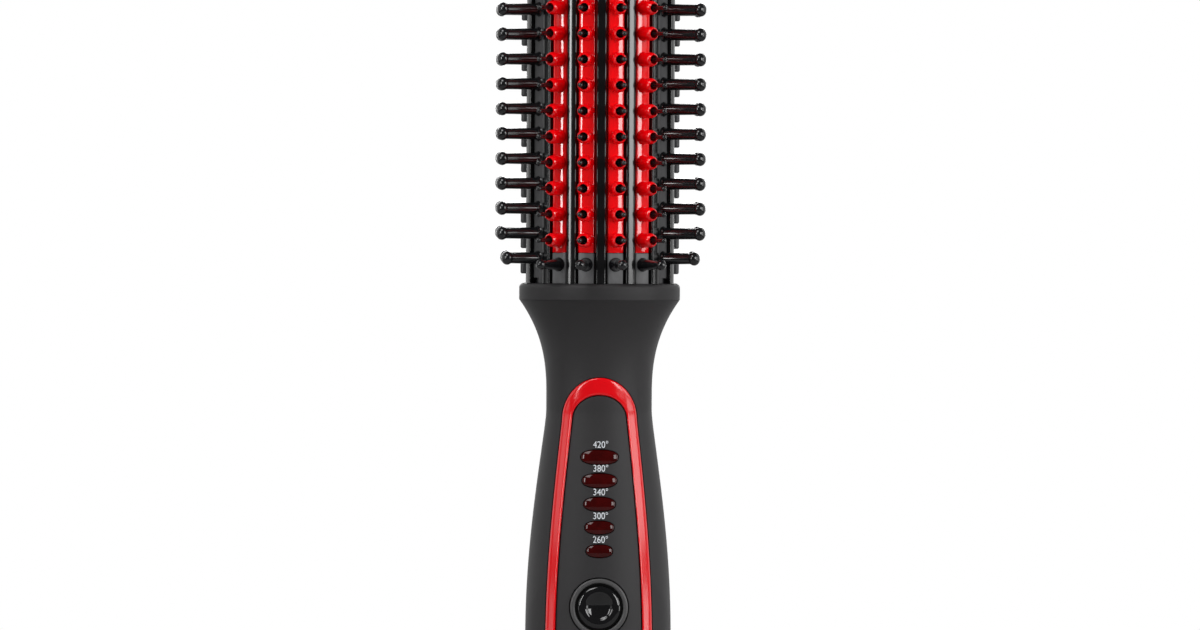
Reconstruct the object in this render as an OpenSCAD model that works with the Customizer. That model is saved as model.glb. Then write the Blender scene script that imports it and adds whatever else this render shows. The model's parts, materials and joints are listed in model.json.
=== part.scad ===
// Heated round styling brush: a finned barrel with pin strips on a moulded control handle.
// +Z runs up the barrel to the cool tip, -Y is the control side, and the base is at z = 0.
// Heights named _d are distances down from the collar's top face, where barrel and handle meet.

/* [Cord gland] */
// Radius of the gland that turns below the handle
gland_r = 11; // [9.5:0.1:12]
// Height of the gland below the handle
gland_h = 7.7; // [6:0.1:12]
// Rounding of the gland's lower edge
gland_edge_r = 1.2; // [0.6:0.1:2]
// Radius of the bore that takes the cord
cord_bore_r = 3.25; // [2.5:0.05:4.2]
// Depth of the cord bore
cord_bore_depth = 12; // [9:0.5:16]
// Radius of the wire passage above the cord bore
wire_bore_r = 2.2; // [1.2:0.1:2.4]
// Radius of the stem that turns in the handle's end wall
stem_r = 6; // [5.4:0.1:6.6]
// Length of the stem above the gland
stem_len = 18.5; // [17.5:0.5:21]
// Radius of the washer that keeps the stem in
retainer_r = 8.5; // [7.6:0.1:9.5]
// Thickness of that washer
retainer_t = 1.5; // [1:0.1:2]
// Radial thickness of a slip ring
slip_ring_t = 1; // [0.6:0.1:1.2]
// Height of a slip ring
slip_ring_h = 2.4; // [1.6:0.1:2.8]
// Pitch of the two slip rings
slip_ring_pitch = 5; // [4:0.1:5.4]

/* [Handle] */
// Length from the tail end to the collar's top face
handle_len = 152; // [148:1:160]
// Radius of the collar
collar_r = 20.1; // [19.8:0.1:21]
// Height of the collar
collar_h = 4.25; // [3.5:0.05:5]
// Rounding of the collar's upper edge
collar_edge_r = 1.2; // [0.5:0.1:1.8]
// Step from the collar in to the handle
collar_step = 0.1; // [0.1:0.1:0.8]
// Radius of the neck
neck_r = 13.2; // [12.6:0.1:14]
// Distance from the collar's top to the top of the neck
neck_top_d = 28; // [26:0.5:29]
// Distance from the collar's top to the bottom of the neck
neck_low_d = 31.5; // [30:0.5:33]
// Radius of the widest part of the grip
belly_r = 18.2; // [17.6:0.1:18.6]
// Distance from the collar's top to the widest part
belly_d = 88; // [84:1:92]
// Radius at the tail
tail_r = 14.5; // [13.8:0.1:15.5]
// Rounding of the tail edge
tail_edge_r = 2.5; // [1.5:0.1:2.8]
// Wall of the two handle shells
wall = 2.2; // [1.9:0.1:2.4]
// Thickness of the end wall that the gland turns in
end_wall = 3; // [2.5:0.1:3.2]

/* [Control panel] */
// Distance from the collar's top to the top of the trim ring
ring_top_d = 23.5; // [22.5:0.1:24.5]
// Height of the ring's round top
arch_h = 10.5; // [9.8:0.1:12]
// Half width of the ring where its sides begin
ring_top_half_w = 9; // [8.6:0.1:9.4]
// Half width of the ring at its widest
ring_low_half_w = 13.35; // [12.9:0.05:13.5]
// Distance from the collar's top to the ring's widest part
ring_low_d = 92; // [90:0.5:94]
// Width of the ring at its sides
ring_side_w = 2.45; // [2:0.05:2.8]
// Width of the ring at its top
ring_arch_w = 4.3; // [3.5:0.1:5]
// Height of the ring above the handle
ring_proud = 0.4; // [0.1:0.05:0.8]
// Thickness of the carrier behind the panel
carrier_t = 1.4; // [1.2:0.1:1.6]
// How far the carrier reaches past the ring
carrier_margin = 0.5; // [0.3:0.1:0.8]

/* [Temperature lights] */
// Distance from the collar's top to the first light
light_top_d = 43.25; // [42:0.05:44]
// Distance from the last light to the button's axis
light_button_gap = 14; // [12.5:0.1:16]
// Width of the first lens
light_first_w = 9.4; // [8:0.1:10]
// Width of the last lens
light_last_w = 6.6; // [5.5:0.1:8]
// Height of the first lens
light_first_h = 3.7; // [3:0.1:4]
// Height of the last lens
light_last_h = 3.2; // [2.8:0.1:3.6]
// Height of a lens above the panel
light_proud = 0.25; // [0.1:0.05:0.5]
// Radius of the light pipe behind a lens
pipe_r = 1.1; // [0.8:0.1:1.3]

/* [Power button] */
// Distance from the collar's top to the button's axis
button_d = 80.6; // [78.5:0.1:82]
// Radius of the button
button_r = 5.4; // [5:0.1:5.6]
// Height of the button's crown above the handle
button_proud = 0.4; // [0.1:0.1:1]
// Radius of the dish in the button's face
dish_r = 2.75; // [2:0.05:3.2]
// Depth of that dish below the crown
dish_depth = 1.1; // [0.5:0.1:1.4]
// Travel of the button
button_travel = 0.5; // [0.3:0.05:0.7]
// Outer radius of the bezel
bezel_r = 7.2; // [6.9:0.05:7.6]
// Inner radius of the bezel
bezel_hole_r = 6; // [5.9:0.05:6.2]
// Depth of the bezel's face below the handle's crown line
bezel_sink = 0.1; // [0:0.05:0.4]

/* [Circuit board] */
// Distance from the handle's crown line at the button down to the board's front face
board_drop = 9.4; // [9:0.1:10]
// Thickness of the board
board_t = 1.6; // [1:0.1:2]
// Half width of the board
board_half_w = 6.6; // [6.4:0.1:7]
// Half width of the board at its upper edge
board_top_half_w = 4.5; // [4:0.1:5.5]
// Distance from the collar's top to the board's upper edge
board_top_d = 38; // [37:0.5:40]
// Distance from the button's axis down to the board's lower edge
board_low_gap = 16.9; // [15:0.1:18]

/* [Barrel] */
// Length of the finned barrel
barrel_len = 118; // [106:1:122]
// Radius over the fins
fin_top_r = 19.6; // [19.4:0.05:19.75]
// Width of a fin's head
fin_w = 2.4; // [2:0.05:2.5]
// Rounding of a fin head's edges
fin_edge_r = 0.4; // [0.2:0.05:0.8]
// Width of a fin's neck, which the strips hook under
fin_neck_w = 1.4; // [1.2:0.05:1.6]
// Radius of the channel floors between the fins
channel_r = 16.6; // [16.3:0.05:16.7]
// Radius of the barrel's bore
bore_r = 14; // [13.6:0.05:14.4]
// Distance from the axis to a screw port in the bore
port_x = 12.2; // [12:0.05:12.4]
// Outer radius of a screw port
port_boss_r = 2.3; // [2:0.05:2.4]
// Radius of a screw port's hole
port_hole_r = 1.1; // [0.9:0.05:1.2]

/* [Pin strips] */
// Width of a strip above the fins' hooks
strip_w = 3.9; // [3.4:0.05:4.1]
// Radius of a strip's outer face
strip_top_r = 19; // [18.7:0.05:19.2]
// Thickness of a strip's hooked foot
foot_t = 0.85; // [0.7:0.05:0.95]
// Height of the first boss above the collar
boss_first_z = 10.85; // [10:0.05:12]
// Pitch of the bosses
boss_pitch = 6.43; // [5.6:0.01:7]
// Radius of a boss
boss_r = 1.78; // [1.6:0.02:1.9]
// Distance from the axis to a boss's rim
boss_top_r = 23.5; // [22:0.1:24.5]
// Radius of the hole in a boss
boss_hole_r = 1.1; // [0.9:0.02:1.2]
// Length at each end of a column that the boss strip leaves free
boss_strip_inset = 7.7; // [6.5:0.05:8]
// Radius of a thin pin
thin_pin_r = 0.52; // [0.4:0.02:0.6]
// Radius of a thin pin's ball
thin_ball_r = 0.66; // [0.6:0.02:0.8]
// Distance from the axis to a thin pin's tip
thin_tip_r = 28.65; // [26:0.05:30]
// Height of the end pins above the collar
end_pin_z = 4.75; // [4:0.05:5.2]
// Radius of an end pin's ball
end_ball_r = 1.28; // [1.2:0.02:1.6]
// Distance from the axis to an end pin's tip
end_tip_r = 28.2; // [26:0.1:29]

/* [Side pins] */
// Radius of a side strip's outer face
side_strip_r = 18.8; // [18.6:0.05:19]
// Height of the first side pin above the collar
side_first_z = 6.28; // [5.6:0.02:6.6]
// Pitch of the side pins
side_pitch = 6.2; // [5.6:0.01:7]
// Radius of a side pin at its root
side_root_r = 1.45; // [1.2:0.05:1.6]
// Radius of a side pin below its tip
side_neck_r = 1.33; // [1.1:0.01:1.4]
// Radius of a side pin's tip
side_ball_r = 1.7; // [1.5:0.05:1.9]
// Distance from the axis to a side pin's tip
side_tip_r = 31; // [28:0.1:33]
// How much shorter the end pins of a side row are
side_end_short = 1.6; // [0:0.1:2]
// Radius of a comb strip's outer face
comb_face_r = 18.3; // [18.1:0.05:18.5]
// Radius over a comb strip's teeth
comb_top_r = 19.8; // [19.4:0.05:20]
// Half width of a tooth
tooth_r = 0.9; // [0.7:0.05:1]
// Length of a tooth
tooth_len = 4.1; // [3:0.1:4.6]
// Height of the first tooth above the collar
tooth_first_z = 2.3; // [2:0.1:3]
// Pitch of the teeth
tooth_pitch = 6.32; // [5.6:0.01:7]

/* [Cool tip] */
// Radius of the cool tip
tip_r = 20; // [19.8:0.1:21]
// Height of the cool tip's cap
tip_h = 15; // [12:0.5:18]
// Straight height below the cap's dome
tip_skirt_h = 3; // [2:0.1:4]
// Wall of the cap
tip_wall = 1.8; // [1.5:0.1:2.2]
// Thickness of the tip plug's flange
tip_flange_t = 2.5; // [2:0.1:3]

/* [Heater] */
// Thickness of the heater between its shoes
heater_t = 3.6; // [3:0.1:4]
// Half width of the heater
heater_half_w = 8.6; // [8:0.1:8.8]
// Free length between the heater and the tip's spigot
heater_end_gap = 8; // [6:0.5:16]
// Height of the heater above the collar
heater_z = 12; // [10:0.5:13]

/* [Hidden] */
$fn = 64;
// Clearances: between seated pieces, between pieces that move, and of the turning stem in its bore
fit_gap = 0.1;
move_gap = 0.3;
stem_fit = 0.08;
groove_gap = 0.18;

// Layout round the barrel: sixteen sectors, with angles from the front, positive to the right
sector = 22.5;
boss_angles = [for (i = [0 : 1]) for (a = [sector / 2, 3 * sector / 2]) for (s = [-1, 1]) 180 * i + s * a];
side_angles = [for (i = [0 : 1]) for (s = [-1, 1]) 180 * i + s * 5 * sector / 2];
comb_angles = [-90, 90];
light_count = 5;

// How far a cut runs past what it cuts, how far a prism from the axis reaches out, and past everything
over = 1;
past_skin = 30;
far = 400;

handle_z = gland_h + move_gap;
collar_z = handle_z + handle_len;
barrel_top_z = collar_z + barrel_len;
flare_top_r = collar_r - collar_step;
flare_power = 2.5;
neck_blend = 0.04;
tail_d = handle_len - tail_edge_r;
ring_side_drop = 7.5;
ring_side_d = ring_top_d + ring_side_drop;
boss_count = floor((barrel_len - 2 * boss_first_z + boss_pitch / 2) / boss_pitch) + 1;
side_count = floor((barrel_len - 2 * side_first_z + side_pitch / 2) / side_pitch) + 1;
tooth_count = floor((barrel_len - tooth_first_z - tooth_len) / tooth_pitch) + 1;

// The stem's parts, from the end wall up, and the contacts that press on its rings
first_ring_lift = 2.4;
retainer_z = handle_z + end_wall + move_gap;
first_ring_z = retainer_z + retainer_t + first_ring_lift;
contact_y = stem_r + slip_ring_t + move_gap / 2;
contact_len = 1.4;
contact_w = 3;
contact_t = 1.6;
block_y = contact_y + contact_len;
block_margin = 1.2;
block_half_w = 4.5;
block_low_z = first_ring_z - block_margin;
block_top_z = first_ring_z + slip_ring_pitch + slip_ring_h + block_margin;

// The seat under the collar and the plug at the tip, which the barrel is screwed to
seat_flange_t = 3.1;
seat_flange_r = 15.1;
seat_stem_r = 9.8;
seat_stem_d = 13;
seat_hole_r = 7;
seat_flange_z = collar_z - collar_h - fit_gap - seat_flange_t;
seat_rib_t = 1.8;
spigot_h = 6;
spigot_r = bore_r - fit_gap;
thread_gap = 0.05;
port_screw_r = port_hole_r - thread_gap;
port_screw_head_r = 1.9;
port_screw_head_h = 1.6;
port_screw_reach = 6.5;
cap_ring_h = 2.6;
plug_well_r = 8.7;

// Shell screws: one above the panel and one midway between the panel and the stem, as distances down
// from the collar's top, and depths from the handle's axis
ring_low_edge_d = ring_low_d + ring_low_half_w;
upper_screw_d = 17;
lower_screw_d = (ring_low_edge_d + collar_z - gland_h - stem_len) / 2;
shell_screw_ds = [upper_screw_d, lower_screw_d];
screw_seat_y = 6;
screw_r = 1.3;
screw_head_r = 2.5;
screw_head_h = 1.8;
screw_reach = 6.5;
screw_boss_r = 2.6;
screw_well_r = 3.6;
recess_half = 1.3;
recess_w = 0.6;
recess_depth = 1;

// Board parts, from the board's place up
button_crown_r = handle_r(button_d);
board_front = button_crown_r - board_drop;
board_low_d = button_d + board_low_gap;
board_taper_d = board_top_d + 12;
switch_w = 6;
switch_h = 3.4;
plunger_r = 1.6;
plunger_spare = 0.4;
plunger_h = button_travel + plunger_spare;
plunger_sink = 0.8;
plunger_top = board_front + switch_h + plunger_h;
led_w = 2;
led_h = 1.2;
standoff_d = button_d - 9.1;
standoff_x = 4.9;
standoff_r = 1.5;
board_screw_r = 0.8;
board_screw_head_r = 1.5;
board_screw_head_h = 1;
board_screw_reach = 2.5;
board_rear = board_front - board_t;
flange_r = 6.5;
flange_t = 1;
wire_r = 0.75;
wire_x = 5;
terminal_low_d = board_low_d - 2;
terminal_half_w = 6;
terminal_t = 5;
terminal_len = 6;
capacitor_low_d = button_d - 15.1;
capacitor_r = 3.5;
capacitor_len = 11;
choke_low_d = button_d + 4.9;
choke_half_w = 5;
choke_t = 4.5;
choke_len = 9;
chip_low_d = button_d - 4.1;
chip_t = 1.3;
chip_len = 6;
chip_half_w = standoff_x - board_screw_head_r - 2 * fit_gap;

// Heater parts: its length, the sensors' grooves in the shoes, and the tabs down to the leads
heater_len = barrel_len - heater_z - heater_end_gap - spigot_h;
sensor_y = 8;
sensor_groove_r = 3;
thermistor_len = 6;
fuse_len = 9;
tab_w = 2.4;
tab_t = 0.8;
tab_d = 8;

// ---- Helpers ----

// Turns and lifts a piece so that its own +X points outwards at an angle from the front
module outwards(angle, z = 0) {
    rotate([0, 0, angle - 90]) translate([0, 0, z]) children();
}

// Puts a revolved piece on an axis that points to the front, d below the collar's top
module to_front(d, x = 0) {
    translate([x, 0, collar_z - d]) rotate([90, 0, 0]) children();
}

// A round bar between two points
module bar(a, b, r) {
    v = b - a;
    translate(a) rotate([0, acos(v[2] / norm(v)), atan2(v[1], v[0])]) cylinder(r = r, h = norm(v));
}

// A wire along a list of points, a little fuller in its bends
module wire(points) {
    for (i = [0 : len(points) - 2]) bar(points[i], points[i + 1], wire_r);
    for (i = [1 : len(points) - 2]) translate(points[i]) sphere(r = 1.1 * wire_r);
}

// A flat ring, as an outline
module ring_outline(r_in, r_out) {
    difference() {
        circle(r = r_out);
        circle(r = r_in);
    }
}

// The half of space in front of the handle's parting plane
module front_half() {
    translate([-far / 2, -far, -far / 2]) cube([far, far, 2 * far]);
}

// ---- Handle shape ----

function ease(t) =
    (sqrt(t * t + neck_blend * neck_blend) - neck_blend) / (sqrt(1 + neck_blend * neck_blend) - neck_blend);

function flare_r(d) =
    neck_r + (flare_top_r - neck_r) * pow(1 - (d - collar_h) / (neck_top_d - collar_h), flare_power);

function swell_r(d) =
    neck_r + (belly_r - neck_r) * sin(90 * ease((d - neck_low_d) / (belly_d - neck_low_d)));

function taper_r(d) = tail_r + (belly_r - tail_r) * cos(90 * (d - belly_d) / (tail_d - belly_d));

function tail_round_r(d) =
    tail_r - tail_edge_r + sqrt(max(0, pow(tail_edge_r, 2) - pow(d - tail_d, 2)));

// Radius of the handle, d below the collar's top
function handle_r(d) =
    d < collar_h ? flare_top_r :
    d < neck_top_d ? flare_r(d) :
    d < neck_low_d ? neck_r :
    d < belly_d ? swell_r(d) :
    d < tail_d ? taper_r(d) : tail_round_r(d);

// Places of the handle's rings of points, close together where the shape bends
stations = concat(
    [for (i = [0 : 13]) collar_h + (neck_top_d - collar_h) * i / 14],
    [neck_top_d],
    [for (i = [0 : 21]) neck_low_d + (belly_d - neck_low_d) * i / 22],
    [for (i = [0 : 11]) belly_d + (tail_d - belly_d) * i / 12],
    [for (i = [0 : 5]) tail_d + tail_edge_r * sin(90 * i / 6)]
);

// The handle as a solid of revolution between two depths, grown outwards by an offset
module handle_solid(offset, top_d, low_d) {
    rotate_extrude() polygon(concat(
        [[0, collar_z - top_d], [handle_r(top_d) + offset, collar_z - top_d]],
        [for (d = stations) if (d > top_d && d < low_d) [handle_r(d) + offset, collar_z - d]],
        [[handle_r(low_d) + offset, collar_z - low_d], [0, collar_z - low_d]]
    ));
}

// The handle's wall between two offsets from its surface
module handle_skin(offset_in, offset_out, top_d, low_d) {
    difference() {
        handle_solid(offset_out, top_d, low_d);
        handle_solid(offset_in, top_d - over, low_d + over);
    }
}

// ---- Panel outline ----

function ring_half_w(d) =
    let (t = (d - ring_side_d) / (ring_low_d - ring_side_d))
    ring_top_half_w + (ring_low_half_w - ring_top_half_w) * sin(90 * t);

// The right half of the ring's outline: its arch, its side and its round foot.
// side_in and arch_in draw it in at the sides and at the arch.
function half_outline(side_in, arch_in) =
    let (arch_d = ring_top_d + arch_h, arch_w = ring_half_w(arch_d) - side_in)
    let (arch_rise = arch_h - arch_in, foot_w = ring_low_half_w - side_in)
    concat(
        [for (i = [0 : 9]) [arch_w * sin(9 * i), arch_d - arch_rise * cos(9 * i)]],
        [for (i = [0 : 9]) let (d = arch_d + (ring_low_d - arch_d) * i / 10) [ring_half_w(d) - side_in, d]],
        [for (i = [0 : 10]) [foot_w * cos(9 * i), ring_low_d + foot_w * sin(9 * i)]]
    );

// A prism to the front over the whole outline
module outline_prism(side_in, arch_in) {
    half = half_outline(side_in, arch_in);
    last = len(half) - 1;
    rotate([90, 0, 0]) linear_extrude(height = past_skin) polygon(concat(
        [for (p = half) [p[0], collar_z - p[1]]],
        [for (i = [last - 1 : -1 : 1]) [-half[i][0], collar_z - half[i][1]]]
    ));
}

// ---- Lights ----

light_pitch = (button_d - light_button_gap - light_top_d) / (light_count - 1);
function light_d(i) = light_top_d + light_pitch * i;
function light_w(i) = light_first_w + (light_last_w - light_first_w) * i / (light_count - 1);
function light_h(i) = light_first_h + (light_last_h - light_first_h) * i / (light_count - 1);

// A rounded oval, from a superellipse
module oval(w, h) {
    squareness = 2.3;
    power = 2 / squareness;
    polygon([for (i = [0 : 27]) let (a = 360 * (i + 0.5) / 28)
        [w / 2 * sign(cos(a)) * pow(abs(cos(a)), power), h / 2 * sign(sin(a)) * pow(abs(sin(a)), power)]]);
}

module light_prism(i, gap) {
    to_front(light_d(i)) linear_extrude(height = past_skin) oval(light_w(i) + 2 * gap, light_h(i) + 2 * gap);
}

// ---- Barrel ----

// A fin: a neck that grows out of the tube, and a wider head with rounded edges
module fin_outline() {
    neck_sink = 0.6;
    head_r = channel_r + foot_t + fit_gap;
    translate([channel_r - neck_sink, -fin_neck_w / 2])
        square([head_r + fit_gap - channel_r + neck_sink, fin_neck_w]);
    translate([head_r, -fin_w / 2]) square([fin_top_r - fin_edge_r - head_r, fin_w]);
    translate([head_r, fin_edge_r - fin_w / 2]) square([fin_top_r - head_r, fin_w - 2 * fin_edge_r]);
    for (s = [-1, 1]) translate([fin_top_r - fin_edge_r, s * (fin_w / 2 - fin_edge_r)]) circle(r = fin_edge_r);
}

module port_outline(r) {
    for (s = [-1, 1]) translate([s * port_x, 0]) circle(r = r);
}

// The tube, its screw ports and its fins, apart from the two that the side strips stand in for
module barrel_extrusion() {
    port_sink = 0.5;
    color([0.16, 0.16, 0.18])
        translate([0, 0, collar_z]) linear_extrude(height = barrel_len) {
            difference() {
                union() {
                    ring_outline(bore_r, channel_r);
                    intersection() {
                        port_outline(port_boss_r);
                        circle(r = bore_r + port_sink);
                    }
                }
                port_outline(port_hole_r);
            }
            for (i = [0 : 15]) if (i % 8 != 4) rotate(i * sector - 90) fin_outline();
        }
}

// The slot between two fins: a wedge whose sides run parallel to theirs
module slot_wedge(half_angle, side) {
    tip = side / sin(half_angle);
    polygon([
        [tip, 0],
        [tip + past_skin * cos(half_angle), past_skin * sin(half_angle)],
        [tip + past_skin * cos(half_angle), -past_skin * sin(half_angle)]
    ]);
}

// A strip's hooked foot, which slides under the fins' heads
module foot_outline(half_angle) {
    intersection() {
        ring_outline(channel_r + fit_gap, channel_r + foot_t);
        slot_wedge(half_angle, fin_neck_w / 2 + fit_gap);
    }
}

// A narrow strip's outline: its foot, and its body up to a round face
module strip_outline(face_r) {
    foot_outline(sector / 2);
    intersection() {
        ring_outline(channel_r + foot_t / 2, face_r);
        translate([channel_r - over, -strip_w / 2]) square([face_r - channel_r + 2 * over, strip_w]);
    }
}

// ---- Red boss strips ----

// The thin pins' rail, which the boss strip covers
rail_w = 2.7;
rail_h = 1.05;
rail_top_r = channel_r + rail_h;

// A boss: a flared root, a straight post and a domed top, which its hole cuts open
module boss_profile() {
    sink = 0.5;
    root_out = 0.15;
    root_step = 0.2;
    root_h = 0.7;
    dome_out = boss_top_r - sqrt(pow(boss_r, 2) - pow(boss_hole_r, 2));
    hole_turn = acos(boss_hole_r / boss_r);
    rotate_extrude() polygon(concat(
        [[boss_hole_r, strip_top_r - sink], [boss_r + root_out, strip_top_r - sink]],
        [[boss_r + root_out, strip_top_r + root_step], [boss_r, strip_top_r + root_h]],
        [for (i = [0 : 5]) let (a = hole_turn * i / 5) [boss_r * cos(a), dome_out + boss_r * sin(a)]]
    ));
}

module boss_holes() {
    for (i = [0 : boss_count - 1])
        translate([channel_r, 0, boss_first_z + boss_pitch * i])
            rotate([0, 90, 0]) cylinder(r = boss_hole_r, h = boss_top_r);
}

module red_boss_strip(angle) {
    color([0.86, 0.03, 0.04]) outwards(angle, collar_z) {
        difference() {
            translate([0, 0, boss_strip_inset])
                linear_extrude(height = barrel_len - 2 * boss_strip_inset) difference() {
                    strip_outline(strip_top_r);
                    translate([channel_r - over, -rail_w / 2 - fit_gap])
                        square([rail_h + fit_gap + over, rail_w + 2 * fit_gap]);
                }
            boss_holes();
        }
        for (i = [0 : boss_count - 1])
            translate([0, 0, boss_first_z + boss_pitch * i]) rotate([0, 90, 0]) boss_profile();
    }
}

// ---- Pins ----

// Half of a round tip, as points from its neck out to the axis
function tip_points(neck, r, half_len, tip, steps) =
    let (start = asin(neck / r))
    [for (i = [0 : steps]) let (a = 180 - start - (180 - start) * i / steps)
        [i == steps ? 0 : r * sin(a), tip - half_len - half_len * -cos(a)]];

// A pin with a flared root, a tapered shaft and a round tip
module pin(root, root_face, shaft_low, shaft_high, tip_r, half_len, tip, steps) {
    sink = 0.6;
    root_step = 0.15;
    flare_mid = 0.4;
    flare_h = 1.1;
    rotate([0, 90, 0]) rotate_extrude() polygon(concat(
        [[0, root_face - sink], [root, root_face - sink], [root, root_face + root_step]],
        [[(root + shaft_low) / 2, root_face + flare_mid], [shaft_low, root_face + flare_h]],
        tip_points(shaft_high, tip_r, half_len, tip, steps)
    ));
}

// The thin pins on their rail, with a pad and a stouter pin at each end
module thin_pin_strip(angle) {
    end_pad_len = boss_strip_inset - fit_gap;
    end_pad_r = strip_top_r - 0.1;
    end_root_r = 1.75;
    end_low_r = 1.4;
    end_high_r = 1.05;
    thin_root_r = boss_hole_r - 0.15;
    thin_low_r = 0.8;
    color([0.05, 0.05, 0.055]) outwards(angle, collar_z) {
        intersection() {
            linear_extrude(height = barrel_len) ring_outline(channel_r + fit_gap, rail_top_r);
            translate([channel_r - over, -rail_w / 2, 0]) cube([rail_h + 2 * over, rail_w, barrel_len]);
        }
        for (z = [0, barrel_len - end_pad_len])
            translate([0, 0, z]) linear_extrude(height = end_pad_len) strip_outline(end_pad_r);
        for (z = [end_pin_z, barrel_len - end_pin_z])
            translate([0, 0, z])
                pin(end_root_r, end_pad_r, end_low_r, end_high_r, end_ball_r, end_ball_r, end_tip_r, 7);
        for (i = [0 : boss_count - 1]) translate([0, 0, boss_first_z + boss_pitch * i])
            pin(thin_root_r, rail_top_r, thin_low_r, thin_pin_r, thin_ball_r, thin_ball_r, thin_tip_r, 6);
    }
}

module side_pin_strip(angle) {
    // The strip's lower end is cut back on the side away from the front and rear centre lines
    outer = sin(angle) * cos(angle) > 0 ? 1 : -1;
    notch_h = 1.4;
    notch_in = 0.4;
    notch_w = strip_w / 2 + notch_in + over;
    side_root_foot_r = 1.85;
    tip_flatness = 0.8;
    color([0.13, 0.13, 0.135]) outwards(angle, collar_z) {
        difference() {
            linear_extrude(height = barrel_len) strip_outline(side_strip_r);
            translate([channel_r + foot_t, outer > 0 ? -notch_in : notch_in - notch_w, -over])
                cube([side_strip_r - channel_r, notch_w, notch_h + over]);
        }
        for (i = [0 : side_count - 1]) {
            short = i == 0 || i == side_count - 1 ? side_end_short : 0;
            translate([0, 0, side_first_z + side_pitch * i])
                pin(side_root_foot_r, side_strip_r, side_root_r, side_neck_r,
                    side_ball_r, tip_flatness * side_ball_r, side_tip_r - short, 8);
        }
    }
}

module comb_strip(angle) {
    tooth_edge = 0.3;
    color([0.13, 0.13, 0.135]) outwards(angle, collar_z) {
        linear_extrude(height = barrel_len) {
            foot_outline(sector);
            intersection() {
                ring_outline(channel_r + foot_t / 2, comb_face_r);
                slot_wedge(sector, fin_w / 2 + 2 * fit_gap);
            }
        }
        for (i = [0 : tooth_count - 1])
            translate([comb_top_r - tooth_r, 0, tooth_first_z + tooth_pitch * i]) {
                cylinder(r1 = tooth_r - tooth_edge, r2 = tooth_r, h = tooth_edge);
                translate([0, 0, tooth_edge]) cylinder(r = tooth_r, h = tooth_len - 2 * tooth_edge);
                translate([0, 0, tooth_len - tooth_edge])
                    cylinder(r1 = tooth_r, r2 = tooth_r - tooth_edge, h = tooth_edge);
                translate([comb_face_r - comb_top_r, -tooth_r, tooth_edge])
                    cube([comb_top_r - comb_face_r, 2 * tooth_r, tooth_len - 2 * tooth_edge]);
            }
    }
}

// ---- Cool tip ----

// Two screws into the ports at an end of the barrel, through what lies between that end and their heads
module port_screws(head_z, end_z) {
    for (s = [-1, 1]) translate([s * port_x, 0, head_z]) mirror([0, 0, end_z > head_z ? 0 : 1]) {
        translate([0, 0, -port_screw_head_h]) cylinder(r = port_screw_head_r, h = port_screw_head_h);
        cylinder(r = port_screw_r, h = abs(end_z - head_z) + port_screw_reach);
    }
}

module port_holes(r, z, h) {
    for (s = [-1, 1]) translate([s * port_x, 0, z]) cylinder(r = r, h = h);
}

// A spigot that fills the barrel's bore and clears its screw ports
module spigot(z) {
    difference() {
        translate([0, 0, z]) cylinder(r = spigot_r, h = spigot_h);
        port_holes(port_boss_r + fit_gap, z - over, spigot_h + 2 * over);
    }
}

// The plug: a spigot in the barrel's bore, a flange over its end and a ring that the cap clips round
module tip_plug() {
    flange_top_z = barrel_top_z + tip_flange_t;
    color([0.2, 0.2, 0.2]) {
        difference() {
            union() {
                translate([0, 0, barrel_top_z]) cylinder(r = tip_r, h = tip_flange_t);
                translate([0, 0, barrel_top_z])
                    cylinder(r = tip_r - tip_wall - fit_gap, h = tip_flange_t + cap_ring_h);
            }
            port_holes(port_screw_r + fit_gap, barrel_top_z - over, tip_flange_t + 2 * over);
            port_holes(port_screw_head_r + fit_gap, flange_top_z, cap_ring_h + over);
            translate([0, 0, flange_top_z]) cylinder(r = plug_well_r, h = cap_ring_h + over);
        }
        spigot(barrel_top_z - spigot_h);
    }
}

module tip_screws() {
    color("silver") port_screws(barrel_top_z + tip_flange_t, barrel_top_z);
}

// Radius of the cap's dome at a share of its height, a little squarer than a circle's
dome_power = 2.3;
function dome_r(t) = pow(1 - pow(t, dome_power), 1 / dome_power);

// The cap's outline, drawn in by an inset
module dome(inset) {
    r = tip_r - inset;
    rise = tip_h - tip_skirt_h - inset;
    rotate_extrude() polygon(concat(
        [[0, inset > 0 ? -over : 0], [r, inset > 0 ? -over : 0]],
        [for (i = [0 : 15]) let (t = sin(90 * i / 16)) [r * dome_r(t), tip_skirt_h + rise * t]],
        [[0, tip_skirt_h + rise]]
    ));
}

module tip_cap() {
    color([0.2, 0.2, 0.2]) translate([0, 0, barrel_top_z + tip_flange_t]) difference() {
        dome(0);
        dome(tip_wall);
    }
}

// ---- Heater ----

// The heater, with its terminal tabs down to the leads
module ptc_heater() {
    color([0.75, 0.7, 0.6]) {
        translate([-heater_half_w, -heater_t / 2, collar_z + heater_z])
            cube([2 * heater_half_w, heater_t, heater_len]);
        for (s = [-1, 1]) translate([s * wire_x - tab_w / 2, -tab_t / 2, collar_z - tab_d])
            cube([tab_w, tab_t, heater_z + tab_d]);
    }
}

// A half-round shoe that fills the bore on one side of the heater and carries its heat to the barrel
module heater_shoe(side) {
    flat_y = heater_t / 2 + fit_gap;
    color([0.7, 0.7, 0.72]) translate([0, 0, collar_z + heater_z])
        linear_extrude(height = heater_len) difference() {
            intersection() {
                circle(r = spigot_r);
                translate([-bore_r, side > 0 ? flat_y : -flat_y - bore_r]) square([2 * bore_r, bore_r]);
            }
            port_outline(port_boss_r + fit_gap);
            translate([0, side * sensor_y]) circle(r = sensor_groove_r);
        }
}

// A sensor's body and its bead or pin, in a shoe's groove
module sensor(side, len, end_r, end_len) {
    translate([0, side * sensor_y, collar_z + heater_z]) {
        cylinder(r = sensor_groove_r - fit_gap, h = len);
        cylinder(r = end_r, h = len + end_len);
    }
}

module thermistor() {
    color("orange") sensor(-1, thermistor_len, 1.4, 1.4);
}

module thermal_fuse() {
    color("silver") sensor(1, fuse_len, 1, 4);
}

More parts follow.
